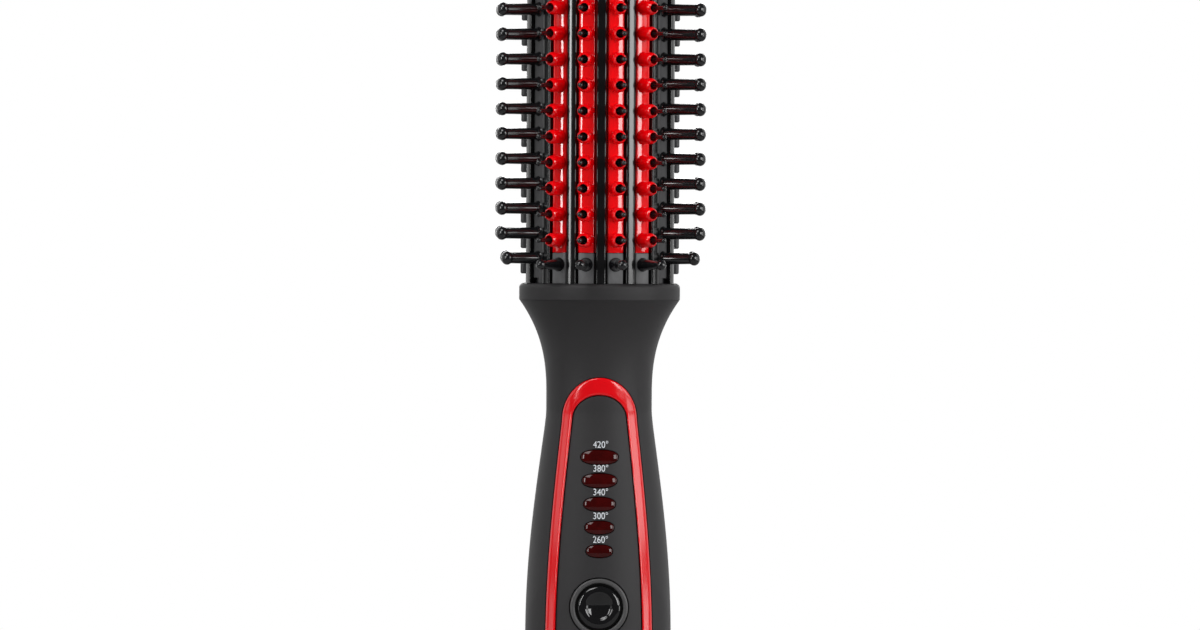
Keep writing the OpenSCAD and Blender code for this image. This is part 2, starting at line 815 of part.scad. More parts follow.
// From the heater's tabs down to the rear of the board
module heater_leads() {
    pad_y = -board_rear + wire_r;
    bend_lift = 7;
    pad_drop = 4;
    pad_len = 4;
    board_top_z = collar_z - board_top_d;
    color([0.8, 0.15, 0.1]) for (s = [-1, 1]) wire([
        [s * wire_x, 0, collar_z - tab_d],
        [s * wire_x, 0, board_top_z + bend_lift],
        [s * wire_x, pad_y, board_top_z - pad_drop],
        [s * wire_x, pad_y, board_top_z - pad_drop - pad_len]
    ]);
}

// ---- Seat and collar ----

// The heat-proof seat: a spigot in the barrel's bore, a flange that the shells grip and a hollow stem
module barrel_seat() {
    color([0.55, 0.5, 0.42]) difference() {
        union() {
            translate([0, 0, seat_flange_z]) cylinder(r = seat_flange_r, h = seat_flange_t);
            translate([0, 0, seat_flange_z]) cylinder(r = spigot_r, h = collar_z + spigot_h - seat_flange_z);
            translate([0, 0, collar_z - seat_stem_d]) cylinder(r = seat_stem_r, h = seat_stem_d);
        }
        translate([0, 0, collar_z - seat_stem_d - over])
            cylinder(r = seat_hole_r, h = seat_stem_d + spigot_h + 2 * over);
        port_holes(port_boss_r + fit_gap, collar_z - fit_gap, spigot_h + over);
        port_holes(port_screw_r + fit_gap, seat_flange_z - over, collar_z - seat_flange_z + over);
    }
}

module seat_screws() {
    color("silver") port_screws(seat_flange_z, collar_z);
}

module collar_ring() {
    color([0.22, 0.22, 0.22]) difference() {
        translate([0, 0, collar_z - collar_h]) {
            cylinder(r = collar_r, h = collar_h - collar_edge_r);
            cylinder(r = collar_r - collar_edge_r, h = collar_h);
            translate([0, 0, collar_h - collar_edge_r])
                rotate_extrude() translate([collar_r - collar_edge_r, 0]) circle(r = collar_edge_r);
        }
        translate([0, 0, collar_z - collar_h - over]) cylinder(r = bore_r, h = collar_h + 2 * over);
    }
}

// ---- Handle shells ----

// A rib round the inside of both shells, under the seat's flange, with room for the seat's screws
module seat_rib() {
    top_z = seat_flange_z - fit_gap;
    difference() {
        intersection() {
            handle_solid(-wall / 2, collar_h, neck_top_d);
            translate([0, 0, top_z - seat_rib_t]) cylinder(r = collar_r, h = seat_rib_t);
        }
        translate([0, 0, top_z - seat_rib_t - over])
            cylinder(r = seat_stem_r + fit_gap, h = seat_rib_t + 2 * over);
        port_holes(port_screw_head_r + fit_gap, top_z - seat_rib_t - over, seat_rib_t + 2 * over);
    }
}

// Both shells' walls in one
module shell_body() {
    difference() {
        handle_solid(0, collar_h, handle_len);
        handle_solid(-wall, collar_h - over, handle_len - end_wall);
        translate([0, 0, handle_z - over]) cylinder(r = stem_r + stem_fit, h = end_wall + 2 * over);
    }
    seat_rib();
}

module handle_front_shell() {
    color([0.22, 0.22, 0.22]) difference() {
        union() {
            intersection() {
                shell_body();
                front_half();
            }
            for (d = shell_screw_ds) intersection() {
                to_front(d) cylinder(r = screw_boss_r, h = past_skin);
                handle_solid(-wall / 2, collar_h, handle_len - end_wall);
            }
        }
        outline_prism(-groove_gap, -groove_gap);
        for (d = shell_screw_ds) to_front(d) translate([0, 0, -over])
            cylinder(r = screw_r, h = over + screw_reach + screw_r);
    }
}

module handle_rear_shell() {
    color([0.22, 0.22, 0.22]) difference() {
        union() {
            difference() {
                shell_body();
                front_half();
            }
            for (d = shell_screw_ds) intersection() {
                to_front(d) translate([0, 0, -past_skin]) cylinder(r = screw_well_r, h = past_skin);
                handle_solid(-wall / 2, collar_h, handle_len - end_wall);
            }
        }
        for (d = shell_screw_ds) to_front(d) translate([0, 0, -past_skin]) {
            cylinder(r = screw_r + fit_gap, h = past_skin + over);
            cylinder(r = screw_head_r + fit_gap, h = past_skin - screw_seat_y);
        }
    }
}

// The two screws that close the handle, each with a cross recess in its head
module shell_screws() {
    head_z = -screw_seat_y - screw_head_h;
    color("silver") for (d = shell_screw_ds) to_front(d) difference() {
        union() {
            translate([0, 0, head_z]) cylinder(r = screw_head_r, h = screw_head_h);
            translate([0, 0, -screw_seat_y])
                cylinder(r = screw_r - thread_gap, h = screw_seat_y + screw_reach);
        }
        for (a = [0, 90]) rotate(a) translate([-recess_half, -recess_w / 2, head_z - over])
            cube([2 * recess_half, recess_w, recess_depth + over]);
    }
}

// ---- Control panel ----

module trim_ring() {
    color([0.8, 0.05, 0.07]) difference() {
        intersection() {
            handle_skin(-wall, ring_proud, ring_top_d - over, ring_low_edge_d + over);
            outline_prism(0, 0);
        }
        outline_prism(ring_side_w, ring_arch_w);
    }
}

module control_panel() {
    color([0.22, 0.22, 0.22]) difference() {
        intersection() {
            handle_skin(-wall, 0, ring_top_d - over, ring_low_edge_d + over);
            outline_prism(ring_side_w + groove_gap, ring_arch_w + groove_gap);
        }
        for (i = [0 : light_count - 1]) light_prism(i, fit_gap);
        to_front(button_d) cylinder(r = bezel_r + groove_gap, h = past_skin);
    }
}

// The carrier behind the ring and the panel, with two standoffs for the board
module panel_carrier() {
    back = wall + fit_gap + carrier_t;
    reach_d = carrier_margin + over;
    color([0.3, 0.3, 0.32]) difference() {
        union() {
            intersection() {
                handle_skin(-back, -wall - fit_gap, ring_top_d - reach_d, ring_low_edge_d + reach_d);
                outline_prism(-carrier_margin, -carrier_margin);
            }
            for (s = [-1, 1]) intersection() {
                to_front(standoff_d, s * standoff_x)
                    translate([0, 0, board_front]) cylinder(r = standoff_r, h = past_skin);
                handle_solid(-back + carrier_t / 2, ring_top_d, ring_low_edge_d);
            }
        }
        for (i = [0 : light_count - 1]) to_front(light_d(i)) cylinder(r = pipe_r + fit_gap, h = past_skin);
        for (s = [-1, 1]) to_front(standoff_d, s * standoff_x)
            cylinder(r = board_screw_r, h = board_front + board_screw_reach + board_screw_r);
        to_front(button_d) cylinder(r = flange_r + move_gap, h = past_skin);
    }
}

// A lens in the panel, with the light pipe behind it
module light_lens(i) {
    led_top = board_front + led_h + fit_gap;
    top_d = light_d(i) - light_h(i);
    low_d = light_d(i) + light_h(i);
    color([0.45, 0.02, 0.03]) {
        intersection() {
            handle_skin(-wall, light_proud, top_d, low_d);
            light_prism(i, 0);
        }
        intersection() {
            to_front(light_d(i)) translate([0, 0, led_top]) cylinder(r = pipe_r, h = past_skin);
            handle_solid(-wall / 2, top_d, low_d);
        }
    }
}

module light_leds() {
    color([0.95, 0.95, 0.9]) for (i = [0 : light_count - 1])
        translate([-led_w / 2, -board_front - led_h, collar_z - light_d(i) - led_w / 2])
            cube([led_w, led_h, led_w]);
}

module circuit_board() {
    hole = board_screw_r + fit_gap;
    half = [[board_half_w, board_low_d], [board_half_w, board_taper_d], [board_top_half_w, board_top_d]];
    color([0.05, 0.35, 0.15]) difference() {
        to_front(0) translate([0, 0, board_rear]) linear_extrude(height = board_t) polygon(concat(
            [for (p = half) [p[0], -p[1]]],
            [for (i = [2 : -1 : 0]) [-half[i][0], -half[i][1]]]
        ));
        for (s = [-1, 1]) to_front(standoff_d, s * standoff_x) cylinder(r = hole, h = past_skin);
    }
}

// The supply's parts on the back of the board
module on_board_rear(low_d, half_w, depth, height) {
    translate([-half_w, -board_rear, collar_z - low_d]) cube([2 * half_w, depth, height]);
}

module board_components() {
    color([0.15, 0.15, 0.4]) {
        // Capacitor and the cradle it lies in
        translate([0, capacitor_r - board_rear, collar_z - capacitor_low_d])
            cylinder(r = capacitor_r, h = capacitor_len);
        on_board_rear(capacitor_low_d, capacitor_r + fit_gap, capacitor_r, capacitor_len);
        // Choke, control chip and the terminal block
        on_board_rear(choke_low_d, choke_half_w, choke_t, choke_len);
        on_board_rear(chip_low_d, chip_half_w, chip_t, chip_len);
        on_board_rear(terminal_low_d, terminal_half_w, terminal_t, terminal_len);
    }
}

module board_screws() {
    color("silver") for (s = [-1, 1]) to_front(standoff_d, s * standoff_x) {
        translate([0, 0, board_rear - board_screw_head_h])
            cylinder(r = board_screw_head_r, h = board_screw_head_h);
        translate([0, 0, board_rear])
            cylinder(r = board_screw_r - thread_gap, h = board_t + board_screw_reach);
    }
}

module tact_switch() {
    color([0.25, 0.25, 0.25]) difference() {
        translate([-switch_w / 2, -board_front - switch_h, collar_z - button_d - switch_w / 2])
            cube([switch_w, switch_h, switch_w]);
        to_front(button_d)
            translate([0, 0, plunger_top - plunger_h - plunger_sink - button_travel - 2 * fit_gap])
                cylinder(r = plunger_r + stem_fit, h = switch_h);
    }
}

// ---- Power button ----

module switch_plunger() {
    color([0.1, 0.1, 0.1]) to_front(button_d)
        translate([0, 0, plunger_top - plunger_h - plunger_sink])
            cylinder(r = plunger_r, h = plunger_h + plunger_sink);
}

// The button: a flange behind the bezel, and a crown with a dish in it
module power_button() {
    crown_mid = (button_r + dish_r) / 2;
    crown_half = (button_r - dish_r) / 2;
    crown_rise = 0.8;
    button_face = button_crown_r + button_proud;
    crown_low = button_face - crown_rise;
    color([0.03, 0.03, 0.035]) to_front(button_d) rotate_extrude() polygon(concat(
        [[0, plunger_top], [flange_r, plunger_top], [flange_r, plunger_top + flange_t]],
        [[button_r, plunger_top + flange_t]],
        [for (i = [0 : 12]) [crown_mid + crown_half * cos(15 * i), crown_low + crown_rise * sin(15 * i)]],
        [for (i = [5 : -1 : 0]) let (t = i / 6)
            [dish_r * t, button_face - dish_depth + (dish_depth - crown_rise) * t * t]]
    ));
}

// The bezel, which lies on the inside of the panel and holds the button's flange in
module button_bezel() {
    edge = 0.35;
    bezel_face = button_crown_r - bezel_sink;
    color([0.35, 0.35, 0.36]) difference() {
        to_front(button_d) rotate_extrude() polygon([
            [bezel_hole_r, board_front],
            [bezel_r, board_front],
            [bezel_r, bezel_face - edge],
            [bezel_r - edge, bezel_face],
            [bezel_hole_r + edge, bezel_face],
            [bezel_hole_r, bezel_face - edge]
        ]);
        handle_solid(-wall - fit_gap, button_d - bezel_r - over, button_d + bezel_r + over);
    }
}

// ---- Cord gland ----

// The gland and its stem, bored for the cord and its two wires
module cord_gland() {
    color([0.12, 0.12, 0.12]) difference() {
        union() {
            translate([0, 0, gland_edge_r]) cylinder(r = gland_r, h = gland_h - gland_edge_r);
            cylinder(r = gland_r - gland_edge_r, h = gland_h);
            translate([0, 0, gland_edge_r])
                rotate_extrude() translate([gland_r - gland_edge_r, 0]) circle(r = gland_edge_r);
            cylinder(r = stem_r, h = gland_h + stem_len);
        }
        translate([0, 0, -over]) cylinder(r = cord_bore_r, h = cord_bore_depth + over);
        translate([0, 0, -over]) cylinder(r = wire_bore_r, h = gland_h + stem_len + 2 * over);
    }
}

module gland_retainer() {
    color("silver") translate([0, 0, retainer_z])
        linear_extrude(height = retainer_t) ring_outline(stem_r, retainer_r);
}

module slip_rings() {
    color([0.8, 0.6, 0.25]) for (i = [0, 1]) translate([0, 0, first_ring_z + slip_ring_pitch * i])
        linear_extrude(height = slip_ring_h) ring_outline(stem_r, stem_r + slip_ring_t);
}

// The block that holds the contacts against the slip rings, against the rear shell
module contact_block() {
    color([0.3, 0.25, 0.2]) intersection() {
        translate([-block_half_w, block_y, block_low_z])
            cube([2 * block_half_w, past_skin, block_top_z - block_low_z]);
        handle_solid(-wall - fit_gap, collar_h, handle_len - end_wall - fit_gap);
    }
}

module slip_contacts() {
    color([0.8, 0.6, 0.25]) for (i = [0, 1])
        translate([-contact_w / 2, contact_y, first_ring_z + slip_ring_pitch * i])
            translate([0, 0, (slip_ring_h - contact_t) / 2]) cube([contact_w, contact_len, contact_t]);
}

// From the contact block up past the lower screw to the board's terminal block
module supply_leads() {
    block_x = block_half_w - 1;
    clear_x = screw_well_r + wire_r + 1.65;
    join_y = block_y + 1.2;
    bend_y = 6;
    terminal_y = terminal_t / 2 - board_rear;
    join_z = collar_z - terminal_low_d;
    color([0.85, 0.85, 0.85]) for (s = [-1, 1]) wire([
        [s * block_x, join_y, block_top_z],
        [s * block_x, join_y, block_top_z + 2],
        [s * clear_x, bend_y, block_top_z + 6],
        [s * clear_x, terminal_y, join_z - 8],
        [s * wire_x, terminal_y, join_z - 3],
        [s * wire_x, terminal_y, join_z]
    ]);
}

// ---- The brush ----

barrel_extrusion();
for (i = [0 : len(boss_angles) - 1]) {
    red_boss_strip(boss_angles[i]);
    thin_pin_strip(boss_angles[i]);
}
for (i = [0 : len(side_angles) - 1])
    side_pin_strip(side_angles[i]);
comb_strip(comb_angles[0]);  // comb_strip_left
comb_strip(comb_angles[1]);  // comb_strip_right
tip_plug();
tip_cap();
tip_screws();
ptc_heater();
heater_shoe(-1);  // heater_shoe_front
heater_shoe(1);  // heater_shoe_rear
thermistor();
thermal_fuse();
heater_leads();
barrel_seat();
seat_screws();
collar_ring();
handle_front_shell();
handle_rear_shell();
shell_screws();
trim_ring();
control_panel();
panel_carrier();
for (i = [0 : light_count - 1])
    light_lens(i);
light_leds();
circuit_board();
board_components();
board_screws();
tact_switch();
button_bezel();
power_button();
switch_plunger();
cord_gland();
gland_retainer();
slip_rings();
contact_block();
slip_contacts();
supply_leads();
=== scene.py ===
import json
from math import acos, asin, cos, degrees, pi, radians, sin, sqrt

import bmesh
import bpy
from mathutils import Matrix, Vector


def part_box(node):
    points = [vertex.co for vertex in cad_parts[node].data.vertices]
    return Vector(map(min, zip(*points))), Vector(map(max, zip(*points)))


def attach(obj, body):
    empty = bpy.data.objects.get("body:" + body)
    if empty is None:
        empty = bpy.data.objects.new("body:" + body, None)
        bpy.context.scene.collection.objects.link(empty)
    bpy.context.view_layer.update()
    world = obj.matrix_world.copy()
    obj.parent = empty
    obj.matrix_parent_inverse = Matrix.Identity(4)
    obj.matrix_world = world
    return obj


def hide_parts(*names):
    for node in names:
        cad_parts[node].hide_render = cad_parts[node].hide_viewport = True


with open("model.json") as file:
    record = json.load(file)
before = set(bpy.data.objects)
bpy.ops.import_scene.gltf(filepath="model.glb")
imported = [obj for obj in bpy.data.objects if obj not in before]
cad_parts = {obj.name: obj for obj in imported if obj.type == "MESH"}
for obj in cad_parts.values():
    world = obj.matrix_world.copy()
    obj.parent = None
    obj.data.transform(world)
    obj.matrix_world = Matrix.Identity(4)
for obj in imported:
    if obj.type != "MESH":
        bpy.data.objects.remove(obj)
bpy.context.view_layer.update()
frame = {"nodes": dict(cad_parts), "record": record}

# Sizes are in millimetres and meshes in metres. The camera, the lamps and the stage are in metres.
MM = 0.001

# ---- Sizes of the brush ----

# Heights that the frame gives, up from the table
collar_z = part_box("collar_ring")[1].z / MM
barrel_top_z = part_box("barrel_extrusion")[1].z / MM
barrel_len = barrel_top_z - collar_z
handle_low_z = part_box("handle_rear_shell")[0].z / MM
handle_len = collar_z - handle_low_z

# The handle, by distance down from the collar's top
collar_r = 20.1
collar_h = 4.25
collar_edge_r = 1.2
collar_bore_r = 14
flare_top_r = 20
flare_power = 2.5
neck_r = 13.2
neck_top_d = 28
neck_low_d = 31.5
neck_blend = 0.04
belly_r = 18.2
belly_d = 88
tail_r = 14.5
tail_edge_r = 2.5
tail_d = handle_len - tail_edge_r
wall = 2.2
end_wall = 3
stem_hole_r = 6.08

# The ring round the panel
ring_top_d = 23.5
arch_h = 10.5
arch_d = ring_top_d + arch_h
ring_side_d = ring_top_d + 7.5
ring_top_half_w = 9
ring_low_half_w = 13.35
ring_low_d = 92
ring_side_w = 2.45
ring_arch_w = 4.3
ring_proud = 0.4
groove_gap = 0.18

# The lights and the button on the panel
light_count = 5
light_top_d = 43.25
light_pitch = 5.8375
light_first_w, light_last_w = 9.4, 6.6
light_first_h, light_last_h = 3.7, 3.2
light_gap = 0.18
button_d = 80.6
button_r = 5.4
button_proud = 0.4
button_depth = 5.1
flange_r = 6.5
dish_r = 2.75
dish_depth = 1.1
crown_rise = 0.8
bezel_r = 7.2
bezel_hole_r = 6
bezel_sink = 0.1
bezel_groove = 0.3

# The strips on the barrel: angles from the front, positive to the right
boss_angles = [-11.25, 11.25, -33.75, 33.75, 168.75, 191.25, 146.25, 213.75]
side_angles = [-56.25, 56.25, 123.75, 236.25]
channel_r = 16.7
channel_floor_r = 16.6
fin_top_r = 19.6
fin_head_r = 17.55
fin_w = 2.4
fin_edge_r = 0.4
fin_under_edge = 0.1
fin_crown_r = 6.8
fin_crown_half = 0.8
fin_neck_w = 1.4
bore_r = 14
port_x = 12.2
port_boss_r = 2.3
port_hole_r = 1.1
foot_top_r = 17.45
foot_half_w = 2.5
strip_half_w = 2.02
strip_top_r = 19
strip_inset = 7.7
rail_inset = 0.2
strip_end_edge = 0.12
boss_first_z = 10.85
boss_pitch = 6.43
boss_count = 16
boss_r = 1.78
boss_hole_r = 1.1
boss_top_r = 23.5
rail_half_w = 1.35
rail_top_r = 17.65
rail_gap = 0.1
thin_root_gap = 0.15
thin_low_r = 0.8
thin_pin_r = 0.52
thin_ball_r = 0.66
thin_tip_r = 28.65
end_pin_z = 4.75
end_pad_r = 18.9
end_pad_len = strip_inset - rail_gap
end_root_r = 1.75
end_low_r = 1.4
end_high_r = 1.05
end_ball_r = 1.28
end_tip_r = 28.2
side_face_r = 18.8
side_first_z = 6.28
side_pitch = 6.2
side_count = 18
side_flare_r = 1.85
side_root_r = 1.45
side_neck_r = 1.33
side_ball_r = 1.7
side_tip_r = 31
side_end_short = 1.6
notch_h = 1.4
notch_in = 0.4

# The cool tip
tip_r = 20
tip_skirt_h = 3
tip_h = 15
tip_wall = 1.8
tip_flange_t = 2.5
tip_edge = 0.25
plug_ring_h = 2.6
plug_gap = 0.1
plug_bore_r = 8.7

# ---- Shaping ----

# Sides of what is turned about the brush's axis, and of the bezel and the button
TURNS = 128
FRONT_TURNS = 96


def deselect():
    bpy.ops.object.select_all(action="DESELECT")


def take(*pieces):
    """Selects these pieces alone, with the first one active"""
    deselect()
    for piece in pieces:
        piece.select_set(True)
    bpy.context.view_layer.objects.active = pieces[0]


def drawn_out(name, loops, capped=False):
    """A skin drawn out from one loop of points to the next, in millimetres"""
    deselect()
    bpy.ops.mesh.primitive_circle_add(vertices=len(loops[0]), fill_type="NOTHING")
    piece = bpy.context.object
    piece.name = piece.data.name = name
    bpy.ops.object.mode_set(mode="EDIT")
    mesh = bmesh.from_edit_mesh(piece.data)
    place = mesh.verts.layers.int.new("place")
    for i, vertex in enumerate(mesh.verts):
        vertex[place] = i
        vertex.co = Vector(loops[0][i]) * MM
    for loop in loops[1:]:
        bpy.ops.mesh.extrude_edges_move()
        mesh = bmesh.from_edit_mesh(piece.data)
        place = mesh.verts.layers.int["place"]
        for vertex in mesh.verts:
            if vertex.select:
                vertex.co = Vector(loop[vertex[place]]) * MM
    bpy.ops.mesh.select_all(action="SELECT")
    bpy.ops.mesh.remove_doubles(threshold=0.0005 * MM)
    bpy.ops.mesh.dissolve_degenerate(threshold=0.0005 * MM)
    if capped:
        bpy.ops.mesh.select_all(action="SELECT")
        bpy.ops.mesh.fill_holes(sides=0)
    bpy.ops.mesh.select_all(action="SELECT")
    bpy.ops.mesh.normals_make_consistent(inside=False)
    bpy.ops.object.mode_set(mode="OBJECT")
    piece.data.attributes.remove(piece.data.attributes["place"])
    return piece


def level_ring(r, z, count=TURNS):
    """A ring of points round the brush's axis"""
    return [(r * sin(2 * pi * i / count), -r * cos(2 * pi * i / count), z) for i in range(count)]


def front_ring(r, out, z, count):
    """A ring of points round an axis that points to the front at a height"""
    return [(r * cos(2 * pi * i / count), -out, z + r * sin(2 * pi * i / count)) for i in range(count)]


def turned(name, profile, count=TURNS):
    """A piece turned about the brush's axis from a closed profile of radii and heights"""
    return drawn_out(name, [level_ring(r, z, count) for r, z in profile + profile[:1]])


def turned_front(name, profile, z, count, closed=True):
    """A piece turned about an axis that points to the front, from radii and distances out"""
    if closed:
        profile = profile + profile[:1]
    return drawn_out(name, [front_ring(r, out, z, count) for r, out in profile])


def corner(across, up, r, start, end, steps=6):
    """Points on a round corner, with its centre at (across, up) and its angles in degrees"""
    turns = [radians(start + (end - start) * i / steps) for i in range(steps + 1)]
    return [(across + r * cos(turn), up + r * sin(turn)) for turn in turns]


def apply_modifier(piece, kind, **values):
    take(piece)
    modifier = piece.modifiers.new(kind.lower(), kind)
    for key, value in values.items():
        setattr(modifier, key, value)
    bpy.ops.object.modifier_apply(modifier=modifier.name)


def worked(piece, tool, operation):
    """Cuts a tool out of a piece, or makes the two one"""
    apply_modifier(piece, "BOOLEAN", object=tool, operation=operation, solver="EXACT")
    bpy.data.objects.remove(tool)


def row(piece, count, pitch):
    """Repeats a piece up the brush"""
    apply_modifier(
        piece, "ARRAY", count=count, use_relative_offset=False, use_constant_offset=True,
        constant_offset_displace=(0, 0, pitch * MM),
    )


def joined(*pieces):
    """Makes several pieces one mesh of separate skins"""
    take(*pieces)
    bpy.ops.object.join()
    return pieces[0]


def block(low, high):
    """A rectangular cutting tool between two corners"""
    deselect()
    middle = [(a + b) / 2 * MM for a, b in zip(low, high)]
    bpy.ops.mesh.primitive_cube_add(size=1, location=middle)
    tool = bpy.context.object
    tool.scale = [(b - a) * MM for a, b in zip(low, high)]
    bpy.ops.object.transform_apply(location=True, rotation=True, scale=True)
    return tool


def smooth(piece, angle=35):
    take(piece)
    bpy.ops.object.shade_smooth_by_angle(angle=radians(angle))


def copy_round(piece, name, angle, mirrored=False):
    """A copy of a front strip, turned round the brush's axis"""
    take(piece)
    bpy.ops.object.duplicate(linked=False)
    copy = bpy.context.object
    copy.name = copy.data.name = name
    if mirrored:
        copy.scale.x = -1
        bpy.ops.object.transform_apply(location=True, rotation=True, scale=True)
        bpy.ops.object.mode_set(mode="EDIT")
        bpy.ops.mesh.select_all(action="SELECT")
        bpy.ops.mesh.normals_make_consistent(inside=False)
        bpy.ops.object.mode_set(mode="OBJECT")
    copy.rotation_euler.z = radians(angle)
    bpy.ops.object.transform_apply(location=True, rotation=True, scale=True)
    return copy


# ---- Finishes ----


def new_group(name, inputs, outputs):
    """An empty node group with its sockets, its texture place and its two ends"""
    group = bpy.data.node_groups.new(name, "ShaderNodeTree")
    for socket, kind in inputs:
        group.interface.new_socket(socket, in_out="INPUT", socket_type=kind)
    for socket, kind in outputs:
        group.interface.new_socket(socket, in_out="OUTPUT", socket_type=kind)
    ends = group.nodes.new("NodeGroupInput"), group.nodes.new("NodeGroupOutput")
    return group, *ends, group.nodes.new("ShaderNodeTexCoord")


def make_drift():
    """Slow drift of a colour and of a roughness over a surface"""
    group, start, end, coords = new_group(
        "drift",
        [("Color", "NodeSocketColor"), ("Roughness", "NodeSocketFloat"),
         ("Scale", "NodeSocketFloat"), ("Amount", "NodeSocketFloat")],
        [("Color", "NodeSocketColor"), ("Roughness", "NodeSocketFloat")],
    )
    nodes, link = group.nodes, group.links.new
    noise = nodes.new("ShaderNodeTexNoise")
    noise.inputs["Detail"].default_value = 4
    link(coords.outputs["Object"], noise.inputs["Vector"])
    link(start.outputs["Scale"], noise.inputs["Scale"])
    centred = nodes.new("ShaderNodeMath")
    centred.operation = "SUBTRACT"
    centred.inputs[1].default_value = 0.5
    link(noise.outputs["Fac"], centred.inputs[0])
    change = nodes.new("ShaderNodeMath")
    change.operation = "MULTIPLY_ADD"
    change.inputs[2].default_value = 1
    link(centred.outputs[0], change.inputs[0])
    link(start.outputs["Amount"], change.inputs[1])
    tint = nodes.new("ShaderNodeHueSaturation")
    link(change.outputs[0], tint.inputs["Value"])
    link(start.outputs["Color"], tint.inputs["Color"])
    link(tint.outputs["Color"], end.inputs["Color"])
    rough = nodes.new("ShaderNodeMath")
    rough.operation = "MULTIPLY"
    link(change.outputs[0], rough.inputs[0])
    link(start.outputs["Roughness"], rough.inputs[1])
    link(rough.outputs[0], end.inputs["Roughness"])
    return group


def make_grain():
    """Fine grain, drawn out along the brush by a stretch"""
    group, start, end, coords = new_group(
        "grain",
        [("Scale", "NodeSocketFloat"), ("Stretch", "NodeSocketFloat")],
        [("Height", "NodeSocketFloat")],
    )
    nodes, link = group.nodes, group.links.new
    squeeze = nodes.new("ShaderNodeCombineXYZ")
    squeeze.inputs["X"].default_value = squeeze.inputs["Y"].default_value = 1
    link(start.outputs["Stretch"], squeeze.inputs["Z"])
    place = nodes.new("ShaderNodeVectorMath")
    place.operation = "MULTIPLY"
    link(coords.outputs["Object"], place.inputs[0])
    link(squeeze.outputs[0], place.inputs[1])
    noise = nodes.new("ShaderNodeTexNoise")
    noise.inputs["Detail"].default_value = 3
    noise.inputs["Roughness"].default_value = 0.6
    link(place.outputs[0], noise.inputs["Vector"])
    link(start.outputs["Scale"], noise.inputs["Scale"])
    link(noise.outputs["Fac"], end.inputs["Height"])
    return group


drift_group = make_drift()
grain_group = make_grain()


def finish_of(name, color, roughness, drift=0.1, drift_scale=60, grain=0.0, grain_scale=2500,
              stretch=1.0, **constants):
    """A finish: a shader with its drift of colour and its grain, and its constant values by socket name"""
    made = bpy.data.materials.new(name)
    made.use_nodes = True
    nodes, link = made.node_tree.nodes, made.node_tree.links.new
    shader = nodes["Principled BSDF"]
    for socket, value in constants.items():
        shader.inputs[socket.replace("_", " ")].default_value = value
    wander = nodes.new("ShaderNodeGroup")
    wander.node_tree = drift_group
    for socket, value in (("Color", (*color, 1)), ("Roughness", roughness), ("Scale", drift_scale),
                          ("Amount", drift)):
        wander.inputs[socket].default_value = value
    link(wander.outputs["Color"], shader.inputs["Base Color"])
    link(wander.outputs["Roughness"], shader.inputs["Roughness"])
    if grain:
        texture = nodes.new("ShaderNodeGroup")
        texture.node_tree = grain_group
        texture.inputs["Scale"].default_value = grain_scale
        texture.inputs["Stretch"].default_value = stretch
        bump = nodes.new("ShaderNodeBump")
        bump.inputs["Strength"].default_value = grain
        bump.inputs["Distance"].default_value = 0.02 * MM
        link(texture.outputs["Height"], bump.inputs["Height"])
        link(bump.outputs["Normal"], shader.inputs["Normal"])
    return made


finishes = {
    "barrel_black": finish_of("barrel_black", (0.004, 0.004, 0.0045), 0.12, drift=0.15, grain=0.12,
                              grain_scale=1800, stretch=0.02),
    "strip_red": finish_of("strip_red", (0.82, 0.0003, 0.003), 0.09, drift=0.06, drift_scale=90, grain=0.04,
                           grain_scale=500, Coat_Weight=0.3, Coat_Roughness=0.05),
    "pin_black": finish_of("pin_black", (0.006, 0.006, 0.007), 0.14, drift=0.2, drift_scale=200),
    "pin_grey": finish_of("pin_grey", (0.042, 0.042, 0.044), 0.45, drift=0.15, drift_scale=120, grain=0.3,
                          Specular_IOR_Level=0.3),
    "soft_touch": finish_of("soft_touch", (0.025, 0.024, 0.025), 0.55, drift=0.1, drift_scale=45,
                            grain=0.5, grain_scale=4200, Specular_IOR_Level=0.22),
    "trim_red": finish_of("trim_red", (0.68, 0.001, 0.005), 0.14, drift=0.06, drift_scale=70, grain=0.05),
    # The lens red's strong drift makes brighter and darker patches. This is partly random tone and partly
    # painted highlight, standing in for red glints of light inside the lens.
    "lens_red": finish_of("lens_red", (0.035, 0.0005, 0.0005), 0.06, drift=1.6, drift_scale=400,
                          Specular_IOR_Level=0.25),
    "bezel_grey": finish_of("bezel_grey", (0.055, 0.054, 0.055), 0.45, drift=0.1, grain=0.4),
    "button_black": finish_of("button_black", (0.004, 0.004, 0.0045), 0.07, drift=0.2, drift_scale=200),
    "gland_black": finish_of("gland_black", (0.015, 0.015, 0.016), 0.42, drift=0.15, grain=0.3),
    "carrier_plastic": finish_of("carrier_plastic", (0.05, 0.05, 0.055), 0.5, grain=0.2),
    "seat_plastic": finish_of("seat_plastic", (0.3, 0.26, 0.2), 0.5, grain=0.3),
    "ceramic": finish_of("ceramic", (0.55, 0.48, 0.36), 0.35, grain=0.1),
    "shoe_aluminium": finish_of("shoe_aluminium", (0.7, 0.7, 0.72), 0.35, grain=0.2, stretch=0.02,
                                Metallic=1.0),
    "steel": finish_of("steel", (0.6, 0.6, 0.6), 0.3, grain=0.1, Metallic=1.0),
    "lead_red": finish_of("lead_red", (0.5, 0.03, 0.02), 0.5, grain=0.1),
    "lead_white": finish_of("lead_white", (0.7, 0.7, 0.7), 0.5, grain=0.1),
    "led_white": finish_of("led_white", (0.85, 0.85, 0.8), 0.2),
    "board_green": finish_of("board_green", (0.02, 0.16, 0.06), 0.3, drift=0.2),
    "component_black": finish_of("component_black", (0.03, 0.03, 0.035), 0.5, grain=0.2),
    "contact_brass": finish_of("contact_brass", (0.75, 0.55, 0.25), 0.3, grain=0.1, Metallic=1.0),
}
print_grey = finish_of("print_grey", (0.6, 0.63, 0.66), 0.5, drift=0.15, drift_scale=900)
pad_grey = finish_of("pad_grey", (0.11, 0.11, 0.113), 0.55, drift=0.35, drift_scale=700, grain=0.3)

